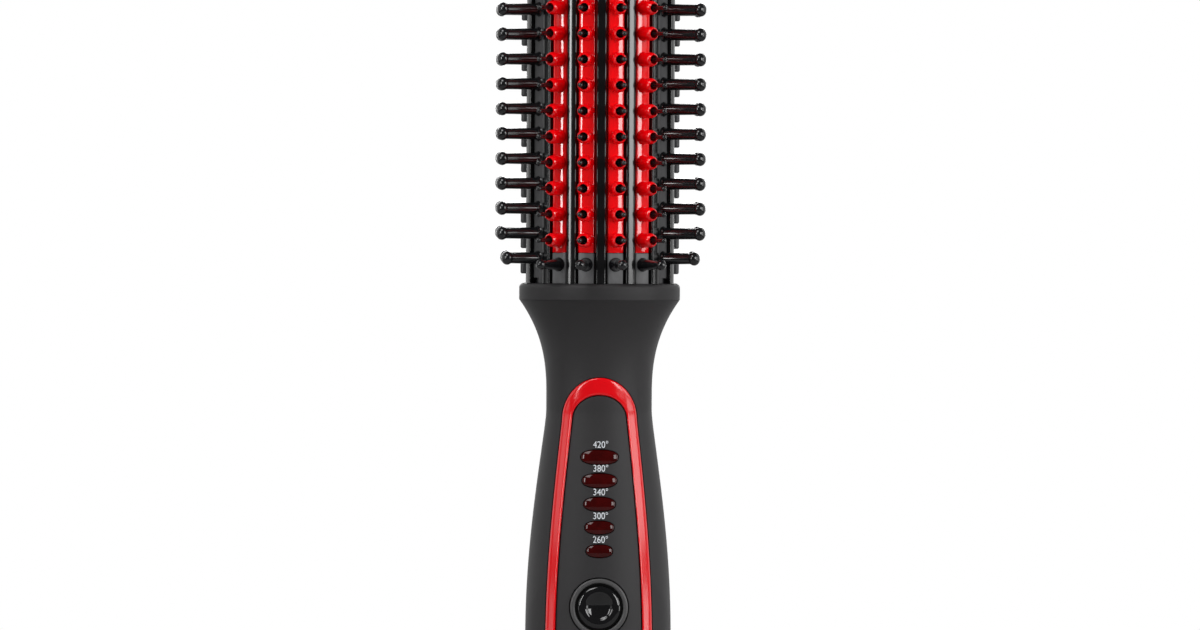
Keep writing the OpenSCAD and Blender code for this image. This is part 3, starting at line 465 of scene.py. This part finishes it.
slot_of = {part["node"]: part["material_slot"] for part in frame["record"]["subparts"]}
body_of = {node: body for body, nodes in frame["record"]["behaviour"]["bodies"].items() for node in nodes}


def finished(piece, node, angle=35, pads=None, pins=None):
    """Smooths and paints a piece and puts it in place of its node. A strip's pads and pins may have
    finishes of their own, each with the distance from the brush's axis at which it starts."""
    smooth(piece, angle)
    piece.data.materials.clear()
    piece.data.materials.append(finishes[slot_of[node]])
    for band in (pads, pins):
        if band:
            piece.data.materials.append(band[0])
            last = len(piece.data.materials) - 1
            for face in piece.data.polygons:
                if face.center.xy.length > band[1] * MM:
                    face.material_index = last
    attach(piece, body_of[node])
    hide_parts(node)


for node, part in frame["nodes"].items():
    part.data.materials.clear()
    part.data.materials.append(finishes[slot_of[node]])

# ---- Handle shape ----


def ease(t):
    low = neck_blend
    return (sqrt(t * t + low * low) - low) / (sqrt(1 + low * low) - low)


def handle_r(d):
    """Radius of the handle at a distance down from the collar's top"""
    if d < collar_h:
        return flare_top_r
    if d < neck_top_d:
        t = (d - collar_h) / (neck_top_d - collar_h)
        return neck_r + (flare_top_r - neck_r) * (1 - t) ** flare_power
    if d < neck_low_d:
        return neck_r
    if d < belly_d:
        return neck_r + (belly_r - neck_r) * sin(pi / 2 * ease((d - neck_low_d) / (belly_d - neck_low_d)))
    if d < tail_d:
        return tail_r + (belly_r - tail_r) * cos(pi / 2 * (d - belly_d) / (tail_d - belly_d))
    return tail_r - tail_edge_r + sqrt(max(0, tail_edge_r ** 2 - (d - tail_d) ** 2))


button_line = handle_r(button_d)
button_crown = button_line + button_proud


def on_handle(x, d, height):
    """The point of the handle's front at x, raised off its surface by a height"""
    r = handle_r(d) + height
    return (x, -sqrt(r * r - x * x), collar_z - d)


def ring_half_w(d):
    t = (d - ring_side_d) / (ring_low_d - ring_side_d)
    return ring_top_half_w + (ring_low_half_w - ring_top_half_w) * sin(pi / 2 * t)


def outline(side_in, arch_in, arch_steps=28, side_steps=40):
    """The ring's outline as places across and down, drawn in at its sides and at its arch"""
    arch_w = ring_half_w(arch_d) - side_in
    foot_w = ring_low_half_w - side_in
    half = []
    for i in range(arch_steps):
        turn = pi / 2 * i / arch_steps
        half.append((arch_w * sin(turn), arch_d - (arch_h - arch_in) * cos(turn)))
    for i in range(side_steps):
        d = arch_d + (ring_low_d - arch_d) * i / side_steps
        half.append((ring_half_w(d) - side_in, d))
    for i in range(arch_steps + 1):
        turn = pi / 2 * i / arch_steps
        half.append((foot_w * cos(turn), ring_low_d + foot_w * sin(turn)))
    return half + [(-x, d) for x, d in half[-2:0:-1]]


# ---- Handle ----


def handle_tube(name):
    """Both shells in one: outer skin, end wall and inner skin"""
    flare_steps, grip_steps, tail_steps, edge_steps = 24, 44, 36, 10
    smooth_ds = [collar_h + (neck_top_d - collar_h) * i / flare_steps for i in range(flare_steps + 1)]
    smooth_ds += [neck_low_d + (belly_d - neck_low_d) * i / grip_steps for i in range(grip_steps + 1)]
    smooth_ds += [belly_d + (tail_d - belly_d) * i / tail_steps for i in range(1, tail_steps + 1)]
    tail_ds = [tail_d + tail_edge_r * sin(pi / 2 * i / edge_steps) for i in range(1, edge_steps + 1)]
    profile = [(handle_r(d), collar_z - d) for d in smooth_ds + tail_ds]
    low_z = handle_low_z
    inner_low_z = low_z + end_wall
    profile += [(stem_hole_r, low_z), (stem_hole_r, inner_low_z)]
    inner_ds = [d for d in smooth_ds if collar_z - d > inner_low_z]
    profile += [(handle_r(d) - wall, max(collar_z - d, inner_low_z)) for d in reversed(inner_ds)]
    return turned(name, profile)


def outline_tool(side_in, arch_in, depth=30):
    """A prism to the front over the ring's outline"""
    return drawn_out("tool", [[(x, -out, collar_z - d) for x, d in outline(side_in, arch_in)]
                              for out in (0, depth)], capped=True)


def halved(piece, side):
    """Keeps the front or the rear of a piece and breaks its parting edges"""
    part_gap = 0.02
    seam_edge = 0.14
    take(piece)
    bpy.ops.object.mode_set(mode="EDIT")
    bpy.ops.mesh.select_all(action="SELECT")
    bpy.ops.mesh.bisect(
        plane_co=(0, side * part_gap * MM, 0), plane_no=(0, side, 0), use_fill=True, clear_inner=True,
    )
    bpy.ops.mesh.select_all(action="DESELECT")
    mesh = bmesh.from_edit_mesh(piece.data)
    for edge in mesh.edges:
        ends = [vertex.co / MM for vertex in edge.verts]
        at_seam = all(abs(end.y - side * part_gap) < 0.001 for end in ends)
        outside = all(abs(end.x) > handle_r(collar_z - end.z) - 0.05 for end in ends)
        edge.select_set(at_seam and outside)
    bmesh.update_edit_mesh(piece.data)
    bpy.ops.mesh.bevel(offset=seam_edge * MM, segments=2, affect="EDGES")
    bpy.ops.object.mode_set(mode="OBJECT")


def shell_screw_wells():
    """The rear shell's screw holes, where its screws' heads lie"""
    well_r, head_r = 2.6, 2.5
    reach = 30
    low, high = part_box("shell_screws")
    tools = []
    for z in (high.z / MM - head_r, low.z / MM + head_r):
        loops = [front_ring(well_r, out, z, 48) for out in (0, -reach)]
        tools.append(drawn_out("tool", loops, capped=True))
    return tools


front_shell = handle_tube("front_shell")
halved(front_shell, -1)
worked(front_shell, outline_tool(-groove_gap, -groove_gap), "DIFFERENCE")
finished(front_shell, "handle_front_shell")

rear_shell = handle_tube("rear_shell")
halved(rear_shell, 1)
for well in shell_screw_wells():
    worked(rear_shell, well, "DIFFERENCE")
finished(rear_shell, "handle_rear_shell")


def make_collar():
    low_z = collar_z - collar_h
    low_edge = 0.25
    bore_edge = 0.3
    profile = [(collar_bore_r, low_z)]
    profile += corner(collar_r - low_edge, low_z + low_edge, low_edge, -90, 0, 4)
    profile += corner(collar_r - collar_edge_r, collar_z - collar_edge_r, collar_edge_r, 0, 90, 10)
    profile += corner(collar_bore_r + bore_edge, collar_z - bore_edge, bore_edge, 90, 180, 3)
    return turned("collar", profile)


finished(make_collar(), "collar_ring")

# ---- Ring and panel ----


def make_trim_ring():
    """The ring: its section runs up its outer side, over its crown and down its inner side"""
    edge = 0.22
    crown_drop = 0.3
    shoulder = ring_proud - crown_drop - 0.5
    section = [(0, -wall), (0, shoulder)]
    steps = 18
    for i in range(steps + 1):
        share = i / steps
        rise = 1 - abs(2 * share - 1) ** 4
        across = 0.5 - 0.5 * cos(pi * share)
        section.append((across, ring_proud - crown_drop - edge + (edge + crown_drop) * rise))
    section += [(1, shoulder), (1, -wall)]
    loops = []
    for share, height in section + section[:1]:
        places = outline(share * ring_side_w, share * ring_arch_w)
        loops.append([on_handle(x, d, height) for x, d in places])
    return drawn_out("red_ring", loops)


finished(make_trim_ring(), "trim_ring")


def oval(w, h, share, count=56):
    """Places across and down on an oval a little fuller than an ellipse"""
    fullness = 2.3
    power = 2 / fullness
    places = []
    for i in range(count):
        turn = 2 * pi * (i + 0.5) / count
        c, s = cos(turn), sin(turn)
        x = w / 2 * share * abs(c) ** power * (1 if c > 0 else -1)
        d = h / 2 * share * abs(s) ** power * (1 if s > 0 else -1)
        places.append((x, d))
    return places


def light_place(i):
    """Distance down, width and height of a light"""
    t = i / (light_count - 1)
    w = light_first_w + (light_last_w - light_first_w) * t
    h = light_first_h + (light_last_h - light_first_h) * t
    return light_top_d + light_pitch * i, w, h


def make_panel():
    """The panel: from its flat back round its edge to its face, drawn in towards its middle line"""
    edge = 0.3
    side_in = ring_side_w + groove_gap
    arch_in = ring_arch_w + groove_gap
    rim = outline(side_in, arch_in)
    inner = outline(side_in + edge, arch_in + edge)
    spine = [(0, min(max(d, arch_d), ring_low_d)) for x, d in rim]

    def loop(share, height, places):
        return [on_handle(sx + (x - sx) * share, sd + (d - sd) * share, height)
                for (x, d), (sx, sd) in zip(places, spine)]

    loops = [loop(0, -wall, rim), loop(0.5, -wall, rim), loop(1, -wall, rim), loop(1, -edge, rim)]
    edge_steps = 6
    for i in range(1, edge_steps):
        turn = pi / 2 * i / edge_steps
        edge_rim = outline(side_in + edge * (1 - cos(turn)), arch_in + edge * (1 - cos(turn)))
        loops.append(loop(1, -edge + edge * sin(turn), edge_rim))
    steps = 12
    loops += [loop(1 - i / steps, 0, inner) for i in range(steps + 1)]
    panel = drawn_out("panel", loops)
    cut = (5, 30)
    for i in range(light_count):
        light_d, w, h = light_place(i)
        hole = oval(w + 2 * light_gap, h + 2 * light_gap, 1)
        hole_loops = [[(x, -out, collar_z - light_d - d) for x, d in hole] for out in cut]
        worked(panel, drawn_out("tool", hole_loops, capped=True), "DIFFERENCE")
    hole_r = bezel_r + bezel_groove
    button_hole = [front_ring(hole_r, out, collar_z - button_d, FRONT_TURNS) for out in cut]
    worked(panel, drawn_out("tool", button_hole, capped=True), "DIFFERENCE")
    return panel


finished(make_panel(), "control_panel")


def make_lens(i):
    """A lens: an oval plug with a flat middle that falls away to its ends, which are flush with the panel"""
    light_d, w, h = light_place(i)
    end_drop = 0.09 * w
    side_drop = 0.5
    middle_h = end_drop - w * w / (8 * handle_r(light_d)) + 0.02
    edge = 0.14
    edge_share = 0.05

    def face(x, d, drop):
        fall = end_drop * abs(2 * x / w) ** 4 + side_drop * (2 * d / h) ** 2
        return (x, fall + drop - handle_r(light_d + d) - middle_h, collar_z - light_d - d)

    loops = [[on_handle(x, light_d + d, -wall) for x, d in oval(w, h, share)] for share in (0, 0.6, 1)]
    edge_steps = 5
    for step in range(edge_steps + 1):
        turn = pi / 2 * step / edge_steps
        places = oval(w, h, 1 - edge_share * (1 - cos(turn)))
        loops.append([face(x, d, edge * (1 - sin(turn))) for x, d in places])
    steps = 14
    for step in range(1, steps + 1):
        loops.append([face(x, d, 0) for x, d in oval(w, h, (1 - edge_share) * (1 - step / steps))])
    return drawn_out(f"lens_{i + 1}", loops)


for i in range(light_count):
    finished(make_lens(i), f"light_lens_{i + 1}")


def make_bezel():
    edge = 0.45
    bezel_face = button_line - bezel_sink
    low = bezel_face - 4
    profile = [(bezel_hole_r, low), (bezel_r, low)]
    profile += corner(bezel_r - edge, bezel_face - edge, edge, 0, 90)
    profile += corner(bezel_hole_r + edge, bezel_face - edge, edge, 90, 180)
    return turned_front("bezel", profile, collar_z - button_d, FRONT_TURNS)


finished(make_bezel(), "button_bezel")


def make_button():
    """The button: a flange behind the bezel, a rounded crown and the dish in it"""
    middle = (button_r + dish_r) / 2
    half = (button_r - dish_r) / 2
    crown_low = button_crown - crown_rise
    button_low = button_line - button_depth
    flange_t = 1
    profile = [(0, button_low), (flange_r, button_low)]
    profile += [(flange_r, button_low + flange_t), (button_r, button_low + flange_t)]
    turns = [pi * i / 20 for i in range(18)]
    profile += [(middle + half * cos(turn), crown_low + crown_rise * sin(turn)) for turn in turns]
    dish_low = button_crown - dish_depth
    blend_r, blend_h = profile[-1]
    steps = 9
    for i in range(1, steps + 1):
        share = 1 - i / steps
        profile.append((blend_r * share, dish_low + (blend_h - dish_low) * share ** 2))
    return turned_front("button", profile, collar_z - button_d, FRONT_TURNS, closed=False)


finished(make_button(), "power_button")

# ---- Numbers ----


def make_numbers():
    """Plain temperatures between the lights, printed on the panel"""
    first, step = 420, -40
    text_h = 1.65
    digit_share = 0.7
    print_h = 0.02
    lift = 2.4
    narrow, aside = 0.88, 0.3
    made = []
    for i in range(light_count):
        deselect()
        bpy.ops.object.text_add(rotation=(pi / 2, 0, 0))
        text = bpy.context.object
        text.data.body = f"{first + step * i}°"
        text.data.size = text_h / digit_share * MM
        text.data.align_x, text.data.align_y = "CENTER", "CENTER"
        text.data.extrude = print_h * MM
        bpy.ops.object.convert(target="MESH")
        bpy.ops.object.transform_apply(location=True, rotation=True, scale=True)
        light_d, w, h = light_place(i)
        down = light_d - h / 2 - lift / 2
        for vertex in text.data.vertices:
            out = print_h if vertex.co.y < 0 else -print_h
            across = narrow * vertex.co.x / MM + aside
            vertex.co = Vector(on_handle(across, down - vertex.co.z / MM, out)) * MM
        made.append(text)
    take(*made)
    bpy.ops.object.join()
    numbers = made[0]
    numbers.name = numbers.data.name = "numbers"
    bpy.ops.object.mode_set(mode="EDIT")
    bpy.ops.mesh.select_all(action="SELECT")
    bpy.ops.mesh.remove_doubles(threshold=0.001 * MM)
    bpy.ops.mesh.normals_make_consistent(inside=False)
    bpy.ops.object.mode_set(mode="OBJECT")
    smooth(numbers, 30)
    numbers.data.materials.clear()
    numbers.data.materials.append(print_grey)
    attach(numbers, "brush")


make_numbers()

# ---- Barrel ----


def fin_section(angle):
    """A fin's outline from its left foot over its head to its right foot, at an angle from the front"""
    reach = fin_top_r - fin_crown_half ** 2 / (2 * fin_crown_r) - fin_edge_r
    half = [(fin_neck_w / 2, sqrt(channel_floor_r ** 2 - fin_neck_w ** 2 / 4)), (fin_neck_w / 2, fin_head_r),
            (fin_w / 2 - fin_under_edge, fin_head_r), (fin_w / 2, fin_head_r + fin_under_edge)]
    half += corner(fin_w / 2 - fin_edge_r, reach, fin_edge_r, 0, 84, 7)
    half += [(x, fin_top_r - x * x / (2 * fin_crown_r)) for x in (0.6, 0.4, 0.2)]
    whole = [(-x, out) for x, out in half] + [(0, fin_top_r)] + half[::-1]
    c, sn = cos(radians(angle)), sin(radians(angle))
    return [(x * c + out * sn, x * sn - out * c) for x, out in whole]


def make_barrel():
    """The tube with its fins, bored through, with the two screw ports in its bore"""
    sector = 22.5
    points = []
    for i in range(16):
        if i % 8 != 4:
            points += fin_section(sector * i)
        beside_comb = i % 8 in (3, 4)
        steps = 6 if beside_comb else 4
        for step in range(1, steps):
            share = 0.2 + 0.6 * step / steps if beside_comb else step / steps
            turn = radians(sector * (i + share))
            points.append((channel_floor_r * sin(turn), -channel_floor_r * cos(turn)))
    loops = [[(x, y, z) for x, y in points] for z in (collar_z, barrel_top_z)]
    barrel = drawn_out("barrel", loops, capped=True)
    bore = drawn_out("tool", [level_ring(bore_r, z) for z in (collar_z - 1, barrel_top_z + 1)], capped=True)
    for side in (-1, 1):
        port = [level_ring(port_boss_r, z, 32) for z in (collar_z - 2, barrel_top_z + 2)]
        port = [[(x + side * port_x, y, z) for x, y, z in loop] for loop in port]
        worked(bore, drawn_out("port", port, capped=True), "DIFFERENCE")
    worked(barrel, bore, "DIFFERENCE")
    for side in (-1, 1):
        hole = [level_ring(port_hole_r, z, 24) for z in (collar_z - 1, barrel_top_z + 1)]
        hole = [[(x + side * port_x, y, z) for x, y, z in loop] for loop in hole]
        worked(barrel, drawn_out("tool", hole, capped=True), "DIFFERENCE")
    return barrel


finished(make_barrel(), "barrel_extrusion", 30)

# ---- Strips and pins ----


def strip_section(face_r, crown_r, edge, slotted):
    """The right half of a strip's section, from its middle underside round to its middle top"""
    centre = face_r - crown_r
    half = []
    if slotted:
        half += [(0, rail_top_r + rail_gap), (rail_half_w + rail_gap, rail_top_r + rail_gap)]
        half += [(rail_half_w + rail_gap, channel_r)]
    else:
        half += [(0, channel_r)]
    half += [(foot_half_w, channel_r), (foot_half_w, foot_top_r), (strip_half_w, foot_top_r)]
    lean = asin((strip_half_w - edge) / (crown_r - edge))
    corner_up = centre + (crown_r - edge) * cos(lean)
    steps = 5
    for i in range(steps + 1):
        turn = pi / 2 - (pi / 2 - lean) * i / steps
        half.append((strip_half_w - edge + edge * sin(turn), corner_up + edge * cos(turn)))
    steps = 6
    for i in range(1, steps + 1):
        turn = lean * (1 - i / steps)
        half.append((crown_r * sin(turn), centre + crown_r * cos(turn)))
    return half + [(-x, out) for x, out in half[-2:0:-1]]


def strip_body(name, section, low, high):
    """A strip between two heights over the collar, with broken end edges"""
    loops = [[(x, -out, collar_z + z) for x, out in section] for z in (low, high)]
    piece = drawn_out(name, loops, capped=True)
    apply_modifier(piece, "BEVEL", width=strip_end_edge * MM, segments=2, limit_method="ANGLE",
                   angle_limit=radians(50), use_clamp_overlap=True)
    return piece


def make_boss():
    """A boss: a flared root sunk in the strip, a post, and a domed top that its hole cuts open"""
    root_out, root_h = 0.15, 0.7
    sunk = strip_top_r - root_h
    rim = 0.06
    dome_out = boss_top_r - sqrt(boss_r ** 2 - boss_hole_r ** 2)
    hole_turn = degrees(acos((boss_hole_r + rim) / boss_r))
    profile = [(boss_hole_r, sunk), (boss_r + root_out, sunk), (boss_r + root_out, strip_top_r - 0.1)]
    profile += [(boss_r + root_out / 2, strip_top_r + 0.2), (boss_r, strip_top_r + root_h)]
    profile += corner(0, dome_out, boss_r, 0, hole_turn, 9)
    profile += [(boss_hole_r, boss_top_r - 2 * rim)]
    return turned_front("boss", profile, collar_z + boss_first_z, 40)


def make_boss_strip():
    crown_r, edge = 5.7, 0.4
    section = strip_section(strip_top_r, crown_r, edge, True)
    strip = strip_body("boss_strip", section, strip_inset, barrel_len - strip_inset)
    first_z = collar_z + boss_first_z
    hole_loops = [front_ring(boss_hole_r, out, first_z, 36) for out in (channel_r - 1, boss_top_r)]
    holes = drawn_out("tool", hole_loops, capped=True)
    row(holes, boss_count, boss_pitch)
    worked(strip, holes, "DIFFERENCE")
    bosses = make_boss()
    row(bosses, boss_count, boss_pitch)
    worked(strip, bosses, "UNION")
    return strip


def pin(root_r, root_face, low_r, high_r, ball_r, half_len, tip, z, count, steps):
    """A pin with a flared root, a tapered shaft and a round tip"""
    sunk, step_h, flare_h = 0.5, 0.05, 0.9
    profile = [(0, root_face - sunk), (root_r, root_face - sunk), (root_r, root_face + step_h)]
    profile += [((root_r + low_r) / 2, root_face + flare_h / 3), (low_r, root_face + flare_h)]
    start = asin(min(1, high_r / ball_r))
    for i in range(steps + 1):
        turn = pi - start - (pi - start) * i / steps
        profile.append((ball_r * sin(turn), tip - half_len + half_len * cos(turn)))
    profile[-1] = (0, tip)
    return turned_front("pin", profile, collar_z + z, count, closed=False)


def make_thin_pin_strip():
    """Thin pins on their rail, and a pad with a stouter pin at each end"""
    rail_section = [(-rail_half_w, channel_r), (rail_half_w, channel_r), (rail_half_w, rail_top_r),
                    (-rail_half_w, rail_top_r)]
    strip = strip_body("thin_pins", rail_section, rail_inset, barrel_len - rail_inset)
    pad_crown_r, pad_edge = 9, 0.35
    pads = strip_body("pad", strip_section(end_pad_r, pad_crown_r, pad_edge, False), 0, end_pad_len)
    row(pads, 2, barrel_len - end_pad_len)
    worked(strip, pads, "UNION")
    thin = pin(boss_hole_r - thin_root_gap, rail_top_r, thin_low_r, thin_pin_r, thin_ball_r, thin_ball_r,
               thin_tip_r, boss_first_z, 16, 7)
    row(thin, boss_count, boss_pitch)
    stout = pin(end_root_r, end_pad_r, end_low_r, end_high_r, end_ball_r, end_ball_r, end_tip_r,
                end_pin_z, 28, 10)
    row(stout, 2, barrel_len - 2 * end_pin_z)
    worked(strip, joined(thin, stout), "UNION")
    return strip


def make_side_strip():
    """A grey strip with its long pins, cut back at its lower right corner"""
    crown_r, edge = 12, 0.3
    strip = strip_body("side_pins", strip_section(side_face_r, crown_r, edge, False), 0, barrel_len)
    low = (-notch_in, -side_face_r - 2, collar_z - 1)
    high = (strip_half_w + 1, -foot_top_r, collar_z + notch_h)
    worked(strip, block(low, high), "DIFFERENCE")
    rows = []
    for first, count, pitch, short in ((0, 2, side_pitch * (side_count - 1), side_end_short),
                                       (1, side_count - 2, side_pitch, 0)):
        pins = pin(side_flare_r, side_face_r, side_root_r, side_neck_r, side_ball_r, 0.8 * side_ball_r,
                   side_tip_r - short, side_first_z + side_pitch * first, 28, 10)
        row(pins, count, pitch)
        rows.append(pins)
    worked(strip, joined(*rows), "UNION")
    return strip


def copies_of(piece, stem, angles, mirrored=None, **bands):
    """Puts a copy of a front strip in place of each of its nodes"""
    for i, angle in enumerate(angles):
        node = f"{stem}_{i + 1}"
        copy = copy_round(piece, f"{piece.name}_{i + 1}", angle, bool(mirrored and mirrored[i]))
        finished(copy, node, **bands)
    bpy.data.objects.remove(piece)


copies_of(make_boss_strip(), "red_boss_strip", boss_angles)
copies_of(make_thin_pin_strip(), "thin_pin_strip", boss_angles,
          pads=(pad_grey, rail_top_r + 0.05), pins=(finishes["pin_black"], end_pad_r + 0.05))
copies_of(make_side_strip(), "side_pin_strip", side_angles, mirrored=[True, False, True, False],
          pins=(finishes["pin_black"], side_face_r + 0.05))

# ---- Cool tip ----


def make_tip_plug():
    """The plug's flange and the ring that the cap clips round"""
    top_z = barrel_top_z + tip_flange_t
    ring_r = tip_r - tip_wall - plug_gap
    rim_r = tip_r - tip_edge
    profile = [(plug_bore_r, barrel_top_z)] + corner(rim_r, barrel_top_z + tip_edge, tip_edge, -90, 0, 4)
    profile += corner(rim_r, top_z - tip_edge, tip_edge, 0, 90, 4)
    profile += [(ring_r, top_z), (ring_r, top_z + plug_ring_h), (plug_bore_r, top_z + plug_ring_h)]
    return turned("tip_flange", profile)


def make_tip_cap():
    """The cap: a domed outer skin and an inner one"""
    low_z = barrel_top_z + tip_flange_t
    power = 2.3

    def dome(inset, turn):
        rise = tip_h - tip_skirt_h - inset
        t = sin(turn)
        return ((tip_r - inset) * max(0, 1 - t ** power) ** (1 / power), low_z + tip_skirt_h + rise * t)

    profile = [(tip_r - tip_wall, low_z)]
    profile += corner(tip_r - tip_edge, low_z + tip_edge, tip_edge, -90, 0, 4)
    outer_steps, inner_steps = 32, 12
    outer = [dome(0, pi / 2 * i / outer_steps) for i in range(outer_steps)]
    inner = [dome(tip_wall, pi / 2 * i / inner_steps) for i in range(inner_steps)]
    profile += outer + [(0, low_z + tip_h), (0, low_z + tip_h - tip_wall)] + inner[::-1]
    return turned("tip_dome", profile)


finished(make_tip_plug(), "tip_plug")
finished(make_tip_cap(), "tip_cap")

# ---- Stage, light and camera ----


def make_floor_paint():
    """Plain matte paint"""
    made = bpy.data.materials.new("floor_grey")
    made.use_nodes = True
    shader = made.node_tree.nodes["Principled BSDF"]
    shader.inputs["Base Color"].default_value = (0.5, 0.5, 0.5, 1)
    shader.inputs["Roughness"].default_value = 0.9
    shader.inputs["Specular IOR Level"].default_value = 0
    return made


def make_backdrop_paint():
    """Matte paint that gloss and glass see as white"""
    made = bpy.data.materials.new("backdrop_white")
    made.use_nodes = True
    nodes, link = made.node_tree.nodes, made.node_tree.links.new
    shader = nodes["Principled BSDF"]
    shader.inputs["Base Color"].default_value = (0.2, 0.2, 0.2, 1)
    shader.inputs["Roughness"].default_value = 0.9
    shader.inputs["Specular IOR Level"].default_value = 0
    path = nodes.new("ShaderNodeLightPath")
    seen = nodes.new("ShaderNodeMath")
    seen.operation = "MAXIMUM"
    link(path.outputs["Is Glossy Ray"], seen.inputs[0])
    link(path.outputs["Is Transmission Ray"], seen.inputs[1])
    shader.inputs["Emission Color"].default_value = (1, 1, 1, 1)
    link(seen.outputs[0], shader.inputs["Emission Strength"])
    return made


def make_stage():
    """A round floor under the brush, and a curved backdrop behind it that a camera can look through"""
    deselect()
    bpy.ops.mesh.primitive_circle_add(vertices=96, radius=0.4, fill_type="NGON", location=(0, 0, 0))
    floor = bpy.context.object
    floor.name = "floor"
    floor.data.materials.append(make_floor_paint())
    deselect()
    bpy.ops.mesh.primitive_cylinder_add(
        vertices=96, radius=3.4, depth=5, end_fill_type="NOTHING", location=(0, 0, 1.5),
    )
    backdrop = bpy.context.object
    backdrop.name = "backdrop"
    bpy.ops.object.mode_set(mode="EDIT")
    bpy.ops.mesh.select_all(action="SELECT")
    bpy.ops.mesh.bisect(plane_co=(0, 0.3, 0), plane_no=(0, 1, 0), clear_inner=True)
    bpy.ops.object.mode_set(mode="OBJECT")
    backdrop.data.materials.append(make_backdrop_paint())
    backdrop.visible_camera = False
    backdrop.visible_diffuse = False
    backdrop.visible_shadow = False


def make_world():
    """White to the camera, and a weak even fill to everything else"""
    world = bpy.data.worlds.new("studio")
    bpy.context.scene.world = world
    world.use_nodes = True
    nodes, link = world.node_tree.nodes, world.node_tree.links.new
    background = nodes["Background"]
    background.inputs["Color"].default_value = (1, 1, 1, 1)
    path = nodes.new("ShaderNodeLightPath")
    strength = nodes.new("ShaderNodeMapRange")
    strength.inputs["To Min"].default_value = 0.1
    strength.inputs["To Max"].default_value = 1
    link(path.outputs["Is Camera Ray"], strength.inputs["Value"])
    link(strength.outputs["Result"], background.inputs["Strength"])


def make_softbox(name, azimuth, distance, width, height, radiance, z, tilt=0):
    """A softbox that faces the brush, at an angle from the front, positive to the right, and tilted down"""
    turn = radians(azimuth)
    away = Vector((sin(turn), -cos(turn), 0))
    deselect()
    bpy.ops.object.light_add(type="AREA", location=away * distance + Vector((0, 0, z)))
    lamp = bpy.context.object
    lamp.name = lamp.data.name = name
    facing = away * cos(radians(tilt)) + Vector((0, 0, sin(radians(tilt))))
    lamp.rotation_euler = facing.to_track_quat("Z", "Y").to_euler()
    lamp.data.shape = "RECTANGLE"
    lamp.data.size, lamp.data.size_y = width, height
    lamp.data.energy = radiance * pi * width * height


def make_camera():
    """The photograph's camera: nearly level, a little to the left, with a slight roll"""
    distance = 4
    azimuth, elevation, roll = radians(-0.85), radians(0.7306), radians(0.28)
    frame_w = 0.300
    target = Vector((0.00014, 0, 0.152))
    away = Vector((sin(azimuth) * cos(elevation), -cos(azimuth) * cos(elevation), sin(elevation)))
    deselect()
    bpy.ops.object.camera_add(location=target + away * distance)
    camera = bpy.context.object
    camera.data.sensor_width = 36
    camera.data.lens = 36 * distance / frame_w
    camera.data.clip_start, camera.data.clip_end = 0.05, 50
    turn = away.to_track_quat("Z", "Y").to_matrix() @ Matrix.Rotation(roll, 3, "Z")
    camera.rotation_euler = turn.to_euler()
    bpy.context.scene.camera = camera


make_stage()
make_world()
make_softbox("softbox_left", -48.8, 1.2, 0.16, 0.62, 16, 0.46)
make_softbox("softbox_right", 45.5, 1.2, 0.4, 0.62, 9.5, 0.46)
for side, azimuth, width, radiance in (("left", -76, 0.4, 1.6), ("right", 73, 0.6, 4.5)):
    make_softbox(f"softbox_far_{side}_high", azimuth, 1.3, width, 0.47, radiance, 0.47)
    make_softbox(f"softbox_far_{side}_low", azimuth, 1.3, width, 0.3, radiance, -0.005)
make_softbox("softbox_top", -35, 0.75, 0.6, 0.5, 7, 1.05, tilt=50)
make_softbox("softbox_rear", 180, 1.2, 0.6, 0.62, 6, 0.46)
make_camera()
bpy.context.scene.view_settings.view_transform = "Standard"
